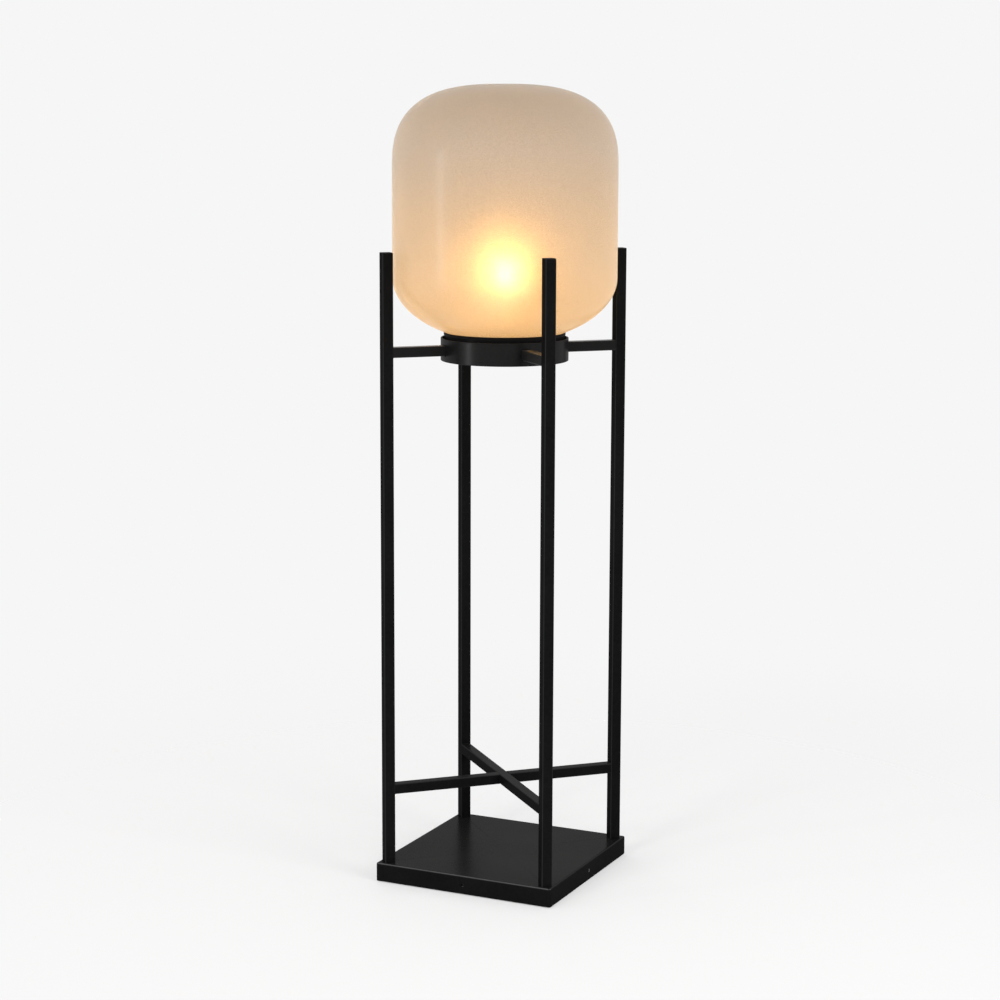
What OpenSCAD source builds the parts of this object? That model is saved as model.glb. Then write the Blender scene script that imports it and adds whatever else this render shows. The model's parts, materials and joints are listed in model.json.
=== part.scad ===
// Lantern floor lamp: a square steel base, four square tube posts set on the
// diagonals, a cross bar near the floor, and a frosted glass jar that stands in
// a cup held by a ring and four arms between the posts.
// Millimetres, +Z up. The origin is on the floor under the middle of the base,
// and the side of the base that faces the viewer is at -Y.

/* [Base] */
// Side of the square base
base_w = 300; // [260:1:400]
// Height of the base's top face above the floor
base_h = 31; // [30:0.5:45]
// Sheet thickness of the folded base cover
cover_sheet = 2; // [1:0.25:2.25]
// Outer radius of the cover's upright corners
cover_corner_r = 3; // [3:0.5:12]
// Outer radius of the fold round the cover's top
cover_fold_r = 2.5; // [2.5:0.5:6]
// Gap between the cover's lower edge and the floor
skirt_gap = 1.5; // [0.5:0.1:2]
// Thickness of the weight plate inside the base
plate_t = 8; // [6:0.5:9]
// Gap between the weight plate's edge and the cover's skirt
plate_gap = 1; // [0.5:0.1:3]
// Thickness of the rubber pads under the weight plate
pad_t = 2; // [1.6:0.1:3]
// Diameter of the rubber pads
pad_d = 30; // [15:1:36]
// Distance of each pad's centre from the base's side
pad_inset = 38; // [34:1:60]

/* [Base fixings] */
// Thread diameter of the recessed set screws in the cover's sides
side_screw_d = 6; // [4:0.5:7]
// Length of the set screws
side_screw_l = 10; // [6:0.5:16]
// How far the set screws sit behind the cover's outer face
side_screw_recess = 1; // [0.5:0.1:1.5]
// Width of the brackets that the set screws go into
bracket_w = 24; // [16:1:40]
// Sheet thickness of the brackets
bracket_sheet = 2; // [1.5:0.25:3]
// Length of each bracket's foot on the weight plate
bracket_foot = 16; // [10:1:30]
// Thread diameter of the bolts that hold the posts
bolt_d = 6; // [4:0.5:6]
// Diameter of the bolts' heads
bolt_head_d = 10.5; // [9:0.5:12]
// Height of the bolts' heads
bolt_head_h = 3.2; // [2:0.1:3.3]
// Length of the bolts under the head
bolt_l = 35; // [32:1:40]
// Outer diameter of the bolts' washers
washer_d = 12; // [11:0.5:13]
// Thickness of the washers
washer_t = 1; // [0.6:0.1:1.2]

/* [Posts and bars] */
// Outer width of the square tube of the posts
post_w = 17; // [14:0.5:20]
// Outer width of the square tube of the arms and cross bars
bar_w = 16; // [14:0.5:20]
// Wall thickness of both square tubes
tube_wall = 1.2; // [0.8:0.1:1.4]
// Outer radius of both square tubes' edges
tube_edge_r = 1.5; // [1.5:0.1:2.5]
// Height of the posts' tops above the floor
post_top = 988; // [900:1:1200]
// Gap between a post's outer corner and the base's side
post_edge_gap = 3; // [1:0.5:12]
// Thickness of the caps on the posts
cap_t = 2; // [1:0.5:4]
// Length of the caps' plugs inside the posts
cap_plug = 8; // [4:0.5:20]
// Height of the threaded plugs in the feet of the posts
insert_h = 14; // [12:1:30]
// Height of the cross bars' centre line above the floor
cross_z = 149.5; // [80:0.5:400]

/* [Ring and cup] */
// Outer diameter of the ring
ring_d = 198; // [196:1:204]
// Wall thickness of the ring
ring_wall = 3; // [2:0.5:3.5]
// Height of the ring
ring_h = 35; // [32:1:50]
// Height of the ring's lower edge above the floor
ring_z = 818.5; // [780:0.5:826]
// Width of the flat bar that bridges the ring
strap_w = 25; // [20:1:40]
// Thickness of the flat bar
strap_t = 3; // [2:0.5:4]
// Gap between the ring's inner wall and the cup that holds the glass
cup_gap = 3; // [2:0.5:6]
// Wall thickness of the cup
cup_wall = 1.5; // [1:0.25:2]
// Depth of the cup's underside below the ring's upper edge
cup_sink = 7.5; // [5:0.5:9]
// Height of the cup's rim above the ring's upper edge
cup_rise = 7; // [6:0.5:12]
// Thickness of the gasket over the cup's rim
gasket_t = 1.35; // [1:0.05:2]
// Width of the gasket's lips on both sides of the rim
gasket_lip = 1.2; // [0.8:0.1:1.3]
// Height of the gasket's lips below the rim
gasket_skirt = 3; // [1.5:0.5:4]
// Thickness of the plate that closes the ring from below
ring_cover_t = 1.5; // [1:0.5:2]
// How far that plate sits inside the ring's lower edge
ring_cover_recess = 2.5; // [2:0.5:4]
// Thread diameter of the small screws that hold that plate
small_screw_d = 3; // [2.5:0.5:4]

/* [Glass] */
// Gap between the glass and the posts
glass_gap = 9.2; // [6:0.1:30]
// Wall thickness of the glass
glass_wall = 3; // [2:0.5:4]
// Height of the glass's rounded top
glass_dome_h = 130; // [100:1:150]
// Fullness of the rounded top: 2 is an ellipse, more is squarer
glass_dome_power = 2.75; // [2:0.05:3.2]
// Height of the glass's straight middle
glass_straight_h = 163.6; // [100:0.1:220]
// Half height of the ellipse that the glass's lower part follows
glass_bowl_h = 99.7; // [80:0.1:120]
// Gap between the glass's neck and the gasket round it
neck_gap = 0.8; // [0.5:0.1:6]
// Length of the neck inside the cup
neck_l = 8; // [5:0.5:10]

/* [Lampholder and bulb] */
// Outer diameter of the lampholder
holder_d = 39; // [38:0.5:44]
// Height of the lampholder
holder_h = 57.5; // [55:0.5:62]
// Height of the lampholder's lower cap
holder_cap_h = 24; // [22:0.5:26]
// Wall thickness of the lampholder
holder_wall = 2; // [1.5:0.1:2.2]
// Outer diameter of the threaded nipple under the lampholder
nipple_d = 10; // [9:0.5:12]
// Bore of the nipple
nipple_bore = 7; // [5:0.5:8]
// Width across the flats of the nipple's nut
nipple_nut_w = 14; // [13:0.5:20]
// Thickness of the nipple's nut
nipple_nut_t = 4; // [2:0.5:5]
// Largest diameter of the bulb
bulb_d = 60; // [45:1:80]
// Overall length of the bulb
bulb_l = 106.5; // [100:0.5:130]
// Outer diameter of the bulb's screw cap
bulb_cap_d = 26.4; // [26:0.1:26.6]
// Wall thickness of the bulb's glass
bulb_wall = 1; // [0.6:0.1:1.5]

/* [Wiring] */
// Diameter of the lead inside the lamp
lead_d = 3.4; // [2:0.1:3.5]
// Bore of the bush where the supply cord enters
cord_bore_d = 6.4; // [5:0.1:8]
// Length of that bush
cord_bush_l = 16; // [10:1:30]
// Distance of that bush from the middle of the rear side
cord_x = -45; // [-60:1:-30]
// Bore of the bushes that guide the lead through the tube walls
lead_bush_bore = 6.4; // [5:0.1:6.6]

/* [Hidden] */
$fn = 72;
eps = 0.01;
// Clearance between a thread or a plug and the hole that it sits in
fit_gap = 0.05;
// Clearance all round a screw that passes a plain hole
pass_gap = 0.3;
// Clearance between the glass and its gasket, and the bulb and its contact
rest_gap = 0.2;

// Base levels and places
plate_top = pad_t + plate_t;
cover_under = base_h - cover_sheet;
side_screw_z = (skirt_gap + base_h) / 2;
bracket_edge = 3.5;
skirt_in = base_w / 2 - cover_sheet;
plate_w = 2 * (skirt_in - plate_gap);
head_recess = bolt_head_h + washer_t + 0.3;
bolt_seat_z = pad_t + head_recess;

// Bush for the supply cord
cord_barrel_d = cord_bore_d + 5;
cord_flange_d = cord_barrel_d + 4;
cord_flange_t = 3;
cord_z = plate_top + cord_flange_d / 2 + pass_gap;

// Post places: the tubes are turned 45 degrees to the base
post_c = base_w / 2 - post_edge_gap - post_w / sqrt(2);
post_r = post_c * sqrt(2);
post_inner_r = post_r - post_w / 2;
plug_w = post_w - 2 * tube_wall - 4 * fit_gap;
plug_edge_r = tube_edge_r - tube_wall + pass_gap;
BACK_RIGHT = 45;
BACK_LEFT = 135;
FRONT_LEFT = 225;
FRONT_RIGHT = 315;
POST_ANGLES = [BACK_RIGHT, BACK_LEFT, FRONT_LEFT, FRONT_RIGHT];

// The lead climbs in the corner of the back left post that points to +X,
// which is this direction in the post's own frame
LEAD_CORNER = 225;
lead_offset = 6.2;
lead_flat = bolt_d / 2 + 1.2;
lead_hole_d = lead_d + 1;
lead_bush_d = lead_bush_bore + 2;
bush_flange_d = lead_bush_bore + 5.6;
bush_flange_t = 1;

// Ring and cup levels
ring_top = ring_z + ring_h;
ring_in = ring_d / 2 - ring_wall;
arm_z = ring_z + ring_h / 2;
cup_r = ring_in - cup_gap;
cup_z = ring_top - cup_sink;
cup_floor = cup_z + cup_wall;
cup_rim = ring_top + cup_rise;
strap_z = cup_z - strap_t;
ring_cover_z = ring_z + ring_cover_recess;
ring_cover_top = ring_cover_z + ring_cover_t;
LUG_ANGLES = [0, 120, 240];
lug_l = 10;
lug_w = 12;
lug_h = 8;
lug_r = ring_in - lug_l / 2;
small_head_d = small_screw_d + 2.6;
small_head_h = 1.8;

// Glass: an upper superellipse, a straight middle and a lower ellipse, set on
// the gasket at the middle of the cup's rim
glass_r = post_inner_r - glass_gap;
seat_r = cup_r - cup_wall / 2;
seat_z = cup_rim + gasket_t + rest_gap;
function root(r, a, power) = pow(max(0, 1 - pow(r / a, power)), 1 / power);
belly_z = seat_z + glass_bowl_h * root(seat_r, glass_r, 2);
shoulder_z = belly_z + glass_straight_h;
function bowl_z(r, t) = belly_z - (glass_bowl_h - t) * root(r, glass_r - t, 2);
function dome_z(r, t) = shoulder_z + (glass_dome_h - t) * root(r, glass_r - t, glass_dome_power);
curve_steps = 26;
neck_r = cup_r - cup_wall - gasket_lip - neck_gap;

// Lampholder and bulb levels, all counted from the cup's floor
holder_z = cup_floor;
core_rise = 18;
core_z = holder_z + core_rise;
core_t = 13;
nipple_hold = 10;
core_top = core_z + core_t;
contact_h = 1.7;
shell_wall = 0.4;
shell_r = bulb_cap_d / 2 + 0.5;
shell_top = holder_z + holder_h - 3.8;
nipple_z = strap_z - nipple_nut_t - washer_t - 1.5;
nipple_top = holder_z + nipple_hold;
nipple_washer_d = 17;
bulb_z = core_top + contact_h + rest_gap;
tip_h = 1.5;
insulator_h = 3.5;
bulb_cap_z = tip_h + insulator_h;
bulb_cap_h = 22;
bulb_neck_z = bulb_cap_z + bulb_cap_h;
bulb_neck_r = bulb_cap_d / 2 - 0.3;
globe_z = bulb_l - bulb_d / 2;
globe_start = 35;
filament_l = 38;
filament_count = 8;
filament_drop = 4;
filament_r = 10.5;
filament_d = 4;
stem_d = bulb_cap_d - 6.4;
stem_flare_h = 10;
stem_rod_d = 4;
disc_t = 0.8;
filament_z = globe_z - filament_l / 2 - filament_drop;

// Terminal block on the weight plate
block_size = [22, 16, 12];
block_c = [cord_x - 40, skirt_in - 30];
block_hole = [7, 4.5];

// Route of the lead from the terminal block, up the corner of the back left post,
// through the back left arm and down to the nipple under the lampholder
lead_start = [block_c.x - block_size.x / 2, block_c.y, plate_top + block_size.z / 2];
lead_bend = lead_start - [10, 0, 0];
lead_up = [lead_offset - post_c, post_c];
lead_foot = [lead_up.x + 0.5, lead_up.y - 0.7, plate_top + 12];
function between(u, v, w) = lead_bend + [
    (lead_foot.x - lead_bend.x) * u, (lead_foot.y - lead_bend.y) * v, (lead_foot.z - lead_bend.z) * w
];
// A point at s along the back left arm and t across it.
function on_arm(s, t, z) = [(t - s) / sqrt(2), (t + s) / sqrt(2), z];
lead_points = [
    lead_start, lead_bend, between(0.35, 0.18, 0.08), between(0.65, 0.53, 0.17),
    between(0.87, 0.82, 0.42), lead_foot, [lead_up.x, lead_up.y, cover_under - 1],
    [lead_up.x, lead_up.y, arm_z - 31], on_arm(post_r - 3.8, 2.1, arm_z - 20),
    on_arm(post_r - 1.3, 0.3, arm_z - 12), on_arm(post_r - 1.7, 0, arm_z - 6),
    on_arm(post_r - 3.5, 0, arm_z - 1.7), on_arm(post_r - 6.6, 0, arm_z - 0.1),
    on_arm(post_r - 11, 0, arm_z), on_arm(ring_d / 2 + 3, 0, arm_z),
    on_arm(ring_in - 11, 0, arm_z - 0.5), on_arm(59.4, 0, nipple_z - 4.5),
    on_arm(33.9, 0, nipple_z - 8), on_arm(14.1, 0, nipple_z - 9.5),
    on_arm(5.7, 0, nipple_z - 8.7), on_arm(1.4, 0, nipple_z - 5.5),
    [0, 0, nipple_z - 0.5], [0, 0, core_z - 0.5]
];
lead_sides = 8;

STEEL_BLACK = "#1c1c1d";
ZINC = "#9a9a9c";
RUBBER = "#141414";
PLASTIC = "#222222";

// ---- helpers -------------------------------------------------------------

// A square with round corners, made of two bars and four circles.
module rounded_square(w, r) {
    square([w, w - 2 * r], center = true);
    square([w - 2 * r, w], center = true);
    for (x = [-1, 1], y = [-1, 1])
        translate([x, y] * (w / 2 - r)) circle(r = r);
}

// Children in the frame of the post at this angle: x points away from the lamp's axis.
module at_post(angle) {
    rotate(angle) translate([post_r, 0, 0]) children();
}

// Children once on each side of the base, in the frame of the side at +X.
module at_each_side() {
    for (angle = [0:90:270]) rotate(angle) translate([base_w / 2, 0, 0]) children();
}

// A square bar along y from z0 to z1, with its two upper edges round.
module round_bar(w, r, z0, z1) translate([0, w / 2, z0]) rotate([90, 0, 0]) linear_extrude(w) {
    translate([-w / 2, 0]) square([w, z1 - z0 - r]);
    translate([r - w / 2, 0]) square([w - 2 * r, z1 - z0]);
    for (x = [-1, 1]) translate([x * (w / 2 - r), z1 - z0 - r]) circle(r = r);
}

// A block from z0 to z1 with round corners and, round its top, a round fold.
module folded_block(w, corner_r, fold_r, z0, z1) intersection() {
    translate([0, 0, z0]) linear_extrude(z1 - z0) rounded_square(w, corner_r);
    round_bar(w, fold_r, z0, z1);
    rotate(90) round_bar(w, fold_r, z0, z1);
}

// Section of a square tube.
module tube_section(w) difference() {
    rounded_square(w, tube_edge_r);
    rounded_square(w - 2 * tube_wall, tube_edge_r - tube_wall);
}

// A length of the posts' tube from z0 to z1.
module upright_tube(z0, z1) {
    translate([0, 0, z0]) linear_extrude(z1 - z0) tube_section(post_w);
}

// The arms' and bars' tube laid along x from x0 to x1.
module level_tube(x0, x1, z) {
    translate([x0, 0, z]) rotate([90, 0, 90]) linear_extrude(x1 - x0) tube_section(bar_w);
}

// A flat ring between two diameters.
module washer(d_out, d_in, t) {
    difference() {
        cylinder(d = d_out, h = t);
        translate([0, 0, -1]) cylinder(d = d_in, h = t + 2);
    }
}

// A cylinder along x that starts at x0.
module x_cylinder(d, x0, l) {
    translate([x0, 0, 0]) rotate([0, 90, 0]) cylinder(d = d, h = l);
}

// ---- base ----------------------------------------------------------------

module base_cover() color(STEEL_BLACK) difference() {
    folded_block(base_w, cover_corner_r, cover_fold_r, skirt_gap, base_h);
    folded_block(2 * skirt_in, cover_corner_r - cover_sheet, cover_fold_r - cover_sheet,
        skirt_gap - 1, cover_under);
    for (angle = POST_ANGLES) at_post(angle)
        translate([0, 0, cover_under - 1]) cylinder(d = bolt_d + 2 * pass_gap, h = cover_sheet + 2);
    at_post(BACK_LEFT) rotate(LEAD_CORNER) translate([lead_offset, 0, cover_under - 1])
        cylinder(d = lead_hole_d, h = cover_sheet + 2);
    at_each_side() translate([0, 0, side_screw_z])
        x_cylinder(side_screw_d + 2 * pass_gap, -cover_sheet - 1, cover_sheet + 2);
    translate([cord_x, 0, cord_z]) rotate(90)
        x_cylinder(cord_barrel_d, skirt_in - 1, cover_sheet + 2);
}

module base_plate() color(STEEL_BLACK) difference() {
    translate([0, 0, pad_t]) linear_extrude(plate_t) square(plate_w, center = true);
    for (angle = POST_ANGLES) at_post(angle) {
        translate([0, 0, pad_t - 1]) cylinder(d = bolt_d + 2 * pass_gap, h = plate_t + 2);
        translate([0, 0, pad_t - 1]) cylinder(d = washer_d + 2, h = head_recess + 1);
    }
    translate([block_c.x, block_c.y, pad_t - 1])
        cylinder(d = small_screw_d + 2 * fit_gap, h = plate_t + 2);
}

module cover_brackets() color(ZINC) at_each_side() difference() {
    union() {
        translate([-cover_sheet - bracket_sheet, -bracket_w / 2, plate_top])
            cube([bracket_sheet, bracket_w, side_screw_z + side_screw_d / 2 + bracket_edge - plate_top]);
        translate([-cover_sheet - bracket_foot, -bracket_w / 2, plate_top])
            cube([bracket_foot, bracket_w, bracket_sheet]);
    }
    translate([0, 0, side_screw_z])
        x_cylinder(side_screw_d + 2 * fit_gap, -cover_sheet - bracket_sheet - 1, bracket_sheet + 2);
}

module cover_screws() color(ZINC) at_each_side() translate([0, 0, side_screw_z]) difference() {
    x_cylinder(side_screw_d, -side_screw_recess - side_screw_l, side_screw_l);
    translate([-side_screw_recess - side_screw_d / 2, 0, 0]) rotate([0, 90, 0])
        cylinder(d = side_screw_d * 0.58, h = side_screw_d, $fn = 6);
}

module floor_pads() color(RUBBER)
    for (x = [-1, 1], y = [-1, 1])
        translate([x, y, 0] * (base_w / 2 - pad_inset)) cylinder(d = pad_d, h = pad_t);

module post_spacers() color(ZINC)
    for (angle = POST_ANGLES) at_post(angle) difference() {
        upright_tube(plate_top, cover_under);
        if (angle == BACK_LEFT) rotate(LEAD_CORNER)
            translate([lead_flat, -post_w, plate_top + 1])
                cube([post_w, 2 * post_w, cover_under - plate_top - 5]);
    }

module post_bolts() color(ZINC)
    for (angle = POST_ANGLES) at_post(angle) {
        translate([0, 0, bolt_seat_z - washer_t - eps]) cylinder(d = bolt_d, h = bolt_l + eps);
        translate([0, 0, bolt_seat_z - washer_t - bolt_head_h]) difference() {
            cylinder(d = bolt_head_d, h = bolt_head_h);
            translate([0, 0, -1]) cylinder(d = bolt_d * 0.75, h = bolt_head_h * 0.6 + 1, $fn = 6);
        }
    }

module bolt_washers() color(ZINC)
    for (angle = POST_ANGLES) at_post(angle)
        translate([0, 0, bolt_seat_z - washer_t]) washer(washer_d, bolt_d + 2 * pass_gap, washer_t);

// ---- posts and bars ------------------------------------------------------

module post_inserts() color(ZINC)
    for (angle = POST_ANGLES) at_post(angle) translate([0, 0, base_h]) difference() {
        linear_extrude(insert_h) rounded_square(plug_w, plug_edge_r);
        translate([0, 0, -1]) cylinder(d = bolt_d + 2 * fit_gap, h = insert_h + 2);
        if (angle == BACK_LEFT) rotate(LEAD_CORNER)
            translate([lead_flat, -post_w, -1]) cube([post_w, 2 * post_w, insert_h + 2]);
    }

module post(angle) color(STEEL_BLACK) at_post(angle) difference() {
    upright_tube(base_h, post_top - cap_t);
    if (angle == BACK_LEFT) translate([0, 0, arm_z])
        x_cylinder(lead_bush_d + 2 * fit_gap, -post_w / 2 - 1, tube_wall + 2);
}

module post_front_left() post(FRONT_LEFT);
module post_front_right() post(FRONT_RIGHT);
module post_back_right() post(BACK_RIGHT);
module post_back_left() post(BACK_LEFT);

module post_caps() color(STEEL_BLACK)
    for (angle = POST_ANGLES) at_post(angle) {
        translate([0, 0, post_top - cap_t]) linear_extrude(cap_t)
            rounded_square(post_w, tube_edge_r);
        translate([0, 0, post_top - cap_t - cap_plug]) linear_extrude(cap_plug + eps)
            rounded_square(plug_w, plug_edge_r);
    }

module cross_bar() color(STEEL_BLACK)
    rotate(BACK_LEFT) level_tube(-post_inner_r, post_inner_r, cross_z);

module cross_half(angle) color(STEEL_BLACK)
    rotate(angle) level_tube(bar_w / 2, post_inner_r, cross_z);

module cross_half_front_left() cross_half(FRONT_LEFT);
module cross_half_back_right() cross_half(BACK_RIGHT);

// Each arm is coped to the round wall of the ring.
module arm(angle) color(STEEL_BLACK) difference() {
    rotate(angle) level_tube(ring_in, post_inner_r, arm_z);
    translate([0, 0, ring_z - 1]) cylinder(d = ring_d, h = ring_h + 2, $fn = 144);
}

module arm_front_left() arm(FRONT_LEFT);
module arm_front_right() arm(FRONT_RIGHT);
module arm_back_right() arm(BACK_RIGHT);
module arm_back_left() arm(BACK_LEFT);

// ---- ring and cup --------------------------------------------------------

module holder_ring() color(STEEL_BLACK) difference() {
    translate([0, 0, ring_z]) cylinder(d = ring_d, h = ring_h, $fn = 144);
    translate([0, 0, ring_z - 1]) cylinder(r = ring_in, h = ring_h + 2, $fn = 144);
    rotate(BACK_LEFT) translate([0, 0, arm_z])
        x_cylinder(lead_bush_d + 2 * fit_gap, ring_in - 2, ring_wall + 4);
}

module ring_strap() color(STEEL_BLACK) difference() {
    intersection() {
        rotate(BACK_RIGHT) translate([-ring_d / 2, -strap_w / 2, strap_z])
            cube([ring_d, strap_w, strap_t]);
        translate([0, 0, strap_z - 1]) cylinder(r = ring_in, h = strap_t + 2, $fn = 144);
    }
    translate([0, 0, strap_z - 1]) cylinder(d = nipple_d + 2 * pass_gap, h = strap_t + 2);
}

module ring_lugs() color(STEEL_BLACK)
    for (angle = LUG_ANGLES) difference() {
        intersection() {
            rotate(angle) translate([ring_in - lug_l, -lug_w / 2, ring_cover_top])
                cube([lug_l + 2, lug_w, lug_h]);
            translate([0, 0, ring_cover_top - 1]) cylinder(r = ring_in, h = lug_h + 2, $fn = 144);
        }
        rotate(angle) translate([lug_r, 0, ring_cover_top - 1])
            cylinder(d = small_screw_d + 2 * fit_gap, h = lug_h + 2);
    }

module ring_cover() color(STEEL_BLACK) difference() {
    translate([0, 0, ring_cover_z]) cylinder(r = ring_in - pass_gap, h = ring_cover_t, $fn = 144);
    for (angle = LUG_ANGLES) rotate(angle) translate([lug_r, 0, ring_cover_z - 1])
        cylinder(d = small_screw_d + 2 * pass_gap, h = ring_cover_t + 2);
}

module ring_cover_screws() color(ZINC)
    for (angle = LUG_ANGLES) rotate(angle) translate([lug_r, 0, ring_cover_z]) {
        translate([0, 0, -eps]) cylinder(d = small_screw_d, h = ring_cover_t + lug_h - 1);
        translate([0, 0, -small_head_h]) cylinder(d = small_head_d, h = small_head_h);
    }

module glass_cup() color(STEEL_BLACK) difference() {
    translate([0, 0, cup_z]) cylinder(r = cup_r, h = cup_rim - cup_z, $fn = 144);
    translate([0, 0, cup_floor]) cylinder(r = cup_r - cup_wall, h = cup_rim, $fn = 144);
    translate([0, 0, cup_z - 1]) cylinder(d = nipple_d + 2 * pass_gap, h = cup_wall + 2);
}

// A soft channel that clips over the rim, with its top parallel to the glass.
module rim_gasket() color(RUBBER) rotate_extrude($fn = 144) {
    r_in = cup_r - cup_wall - gasket_lip;
    r_out = cup_r + gasket_lip;
    polygon([
        [r_in, cup_rim - gasket_skirt], [cup_r - cup_wall, cup_rim - gasket_skirt],
        [cup_r - cup_wall, cup_rim], [cup_r, cup_rim],
        [cup_r, cup_rim - gasket_skirt], [r_out, cup_rim - gasket_skirt],
        [r_out, bowl_z(r_out, 0) - rest_gap], [seat_r, bowl_z(seat_r, 0) - rest_gap],
        [r_in, bowl_z(r_in, 0) - rest_gap]
    ]);
}

// ---- glass ---------------------------------------------------------------

// Half outline of the jar, t inside its outer face, from the neck up to the apex.
function jar_outline(t) = let(a = glass_r - t, start = asin((neck_r - t) / a)) concat(
    [for (i = [0:curve_steps]) let(r = a * sin(start + (90 - start) * i / curve_steps)) [r, bowl_z(r, t)]],
    [for (i = [0:curve_steps]) let(r = a * cos(90 * i / curve_steps)) [r, dome_z(r, t)]]
);

module glass_shade() color("#f0d9b8") rotate_extrude($fn = 144) {
    neck_z = bowl_z(neck_r, 0) - neck_l;
    inner = jar_outline(glass_wall);
    polygon(concat(
        [[neck_r, neck_z]], jar_outline(0),
        [for (i = [len(inner) - 1:-1:0]) inner[i]], [[neck_r - glass_wall, neck_z]]
    ));
}

// ---- lampholder ----------------------------------------------------------

module nipple() color(ZINC) translate([0, 0, nipple_z])
    washer(nipple_d, nipple_bore, nipple_top - nipple_z);

module nipple_washer() color(ZINC) translate([0, 0, strap_z - washer_t])
    washer(nipple_washer_d, nipple_d + 2 * pass_gap, washer_t);

module nipple_nut() color(ZINC) translate([0, 0, strap_z - washer_t - nipple_nut_t]) difference() {
    cylinder(d = nipple_nut_w / cos(30), h = nipple_nut_t, $fn = 6);
    translate([0, 0, -1]) cylinder(d = nipple_d + 2 * fit_gap, h = nipple_nut_t + 2);
}

module holder_cap() color(PLASTIC) translate([0, 0, holder_z]) rotate_extrude() {
    r = holder_d / 2;
    inner_r = r - holder_wall;
    ledge_r = inner_r - 2;
    bore_r = nipple_d / 2 + fit_gap;
    polygon([
        [bore_r, 0], [r - 7, 0], [r - 2, 5], [r, 12], [r, holder_cap_h],
        [inner_r, holder_cap_h], [inner_r, core_rise], [ledge_r, core_rise],
        [ledge_r, core_rise - 5], [bore_r, nipple_hold]
    ]);
}

module holder_skirt() color(PLASTIC) translate([0, 0, holder_z]) rotate_extrude() {
    r = holder_d / 2;
    lip_z = shell_top - holder_z + 0.3;
    polygon([
        [r - holder_wall, holder_cap_h], [r, holder_cap_h], [r, holder_h],
        [shell_r + 0.4, holder_h], [shell_r + 0.4, lip_z], [r - holder_wall, lip_z]
    ]);
}

module holder_core() color("#e8e4da") translate([0, 0, core_z]) difference() {
    cylinder(d = holder_d - 2 * holder_wall - 4 * fit_gap, h = core_t);
    for (x = [-1, 1]) translate([x * 7, 0, -1]) cylinder(d = 3, h = 5);
}

module holder_shell() color("#b58a3c") translate([0, 0, core_top])
    washer(2 * shell_r, 2 * (shell_r - shell_wall), shell_top - core_top);

module holder_contact() color("#b58a3c") translate([0, 0, core_top]) cylinder(d = 8, h = contact_h);

// ---- bulb ----------------------------------------------------------------

// Radius of the bulb's outer face between the neck (u = 0) and the globe (u = 1):
// a cubic that leaves the neck straight and meets the globe along its tangent.
function bulb_blend(u, r1, slope) = let(r0 = bulb_neck_r)
    r0 * (2 * u * u * u - 3 * u * u + 1) + r1 * (3 * u * u - 2 * u * u * u) + slope * (u * u * u - u * u);

// Half outline of the bulb's glass, t inside its outer face, from the neck to the top.
function bulb_outline(t) = let(
    r = bulb_d / 2,
    start_z = globe_z - r * sin(globe_start),
    rise = start_z - bulb_neck_z
) concat(
    [for (i = [0:11]) let(u = i / 12)
        [bulb_blend(u, r * cos(globe_start), rise * tan(globe_start)) - t, bulb_neck_z + rise * u]],
    [for (i = [0:20]) let(a = -globe_start + (90 + globe_start) * i / 20)
        [(r - t) * cos(a), globe_z + (r - t) * sin(a)]]
);

module bulb_globe() color("#fff4d8") translate([0, 0, bulb_z]) rotate_extrude() {
    inner = bulb_outline(bulb_wall);
    polygon(concat(bulb_outline(0), [for (i = [len(inner) - 1:-1:0]) inner[i]]));
}

// A thin screw cap: rings stand in for the thread, and the neck stays plain.
module bulb_cap() color(ZINC) translate([0, 0, bulb_z + bulb_cap_z]) rotate_extrude() {
    r = bulb_cap_d / 2;
    pitch = 3.6;
    depth = 0.8;
    wall = 0.5;
    turns = [for (i = [0:4]) each [
        [r - depth, pitch * i + 0.6], [r, pitch * i + 1.8], [r - depth, pitch * i + 3]
    ]];
    polygon(concat(
        [[r - depth, 0]], turns, [[r, bulb_cap_h - 2], [r, bulb_cap_h]],
        [[r - depth - wall, bulb_cap_h], [r - depth - wall, 0]]
    ));
}

module bulb_insulator() color("#101418") translate([0, 0, bulb_z + tip_h])
    cylinder(d1 = 10, d2 = bulb_cap_d - 2, h = insulator_h);

module bulb_tip() color(ZINC) translate([0, 0, bulb_z]) cylinder(d1 = 7, d2 = 9.6, h = tip_h);

module bulb_stem() color("#d8e0e0") translate([0, 0, bulb_z]) {
    translate([0, 0, bulb_cap_z]) cylinder(d = stem_d, h = bulb_cap_h);
    translate([0, 0, bulb_neck_z]) cylinder(d1 = stem_d, d2 = stem_d / 2, h = stem_flare_h);
    translate([0, 0, bulb_neck_z]) cylinder(d = stem_rod_d, h = filament_z + filament_l - bulb_neck_z);
    for (z = [filament_z - disc_t, filament_z + filament_l])
        translate([0, 0, z]) cylinder(r = filament_r + filament_d, h = disc_t);
}

module bulb_filaments() color("#ffb040") translate([0, 0, bulb_z + filament_z])
    for (i = [0:filament_count - 1]) rotate(360 * i / filament_count)
        translate([filament_r, 0, 0]) cylinder(d = filament_d, h = filament_l);

// ---- wiring --------------------------------------------------------------

// The bush ends flush with the cover's outer face, and its flange is inside.
module cord_bush() color(PLASTIC) translate([cord_x, 0, cord_z]) rotate(90) difference() {
    union() {
        x_cylinder(cord_barrel_d - 2 * fit_gap, base_w / 2 - cord_bush_l, cord_bush_l);
        x_cylinder(cord_flange_d, skirt_in - cord_flange_t, cord_flange_t);
    }
    x_cylinder(cord_bore_d, base_w / 2 - cord_bush_l - 1, cord_bush_l + 2);
}

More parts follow.
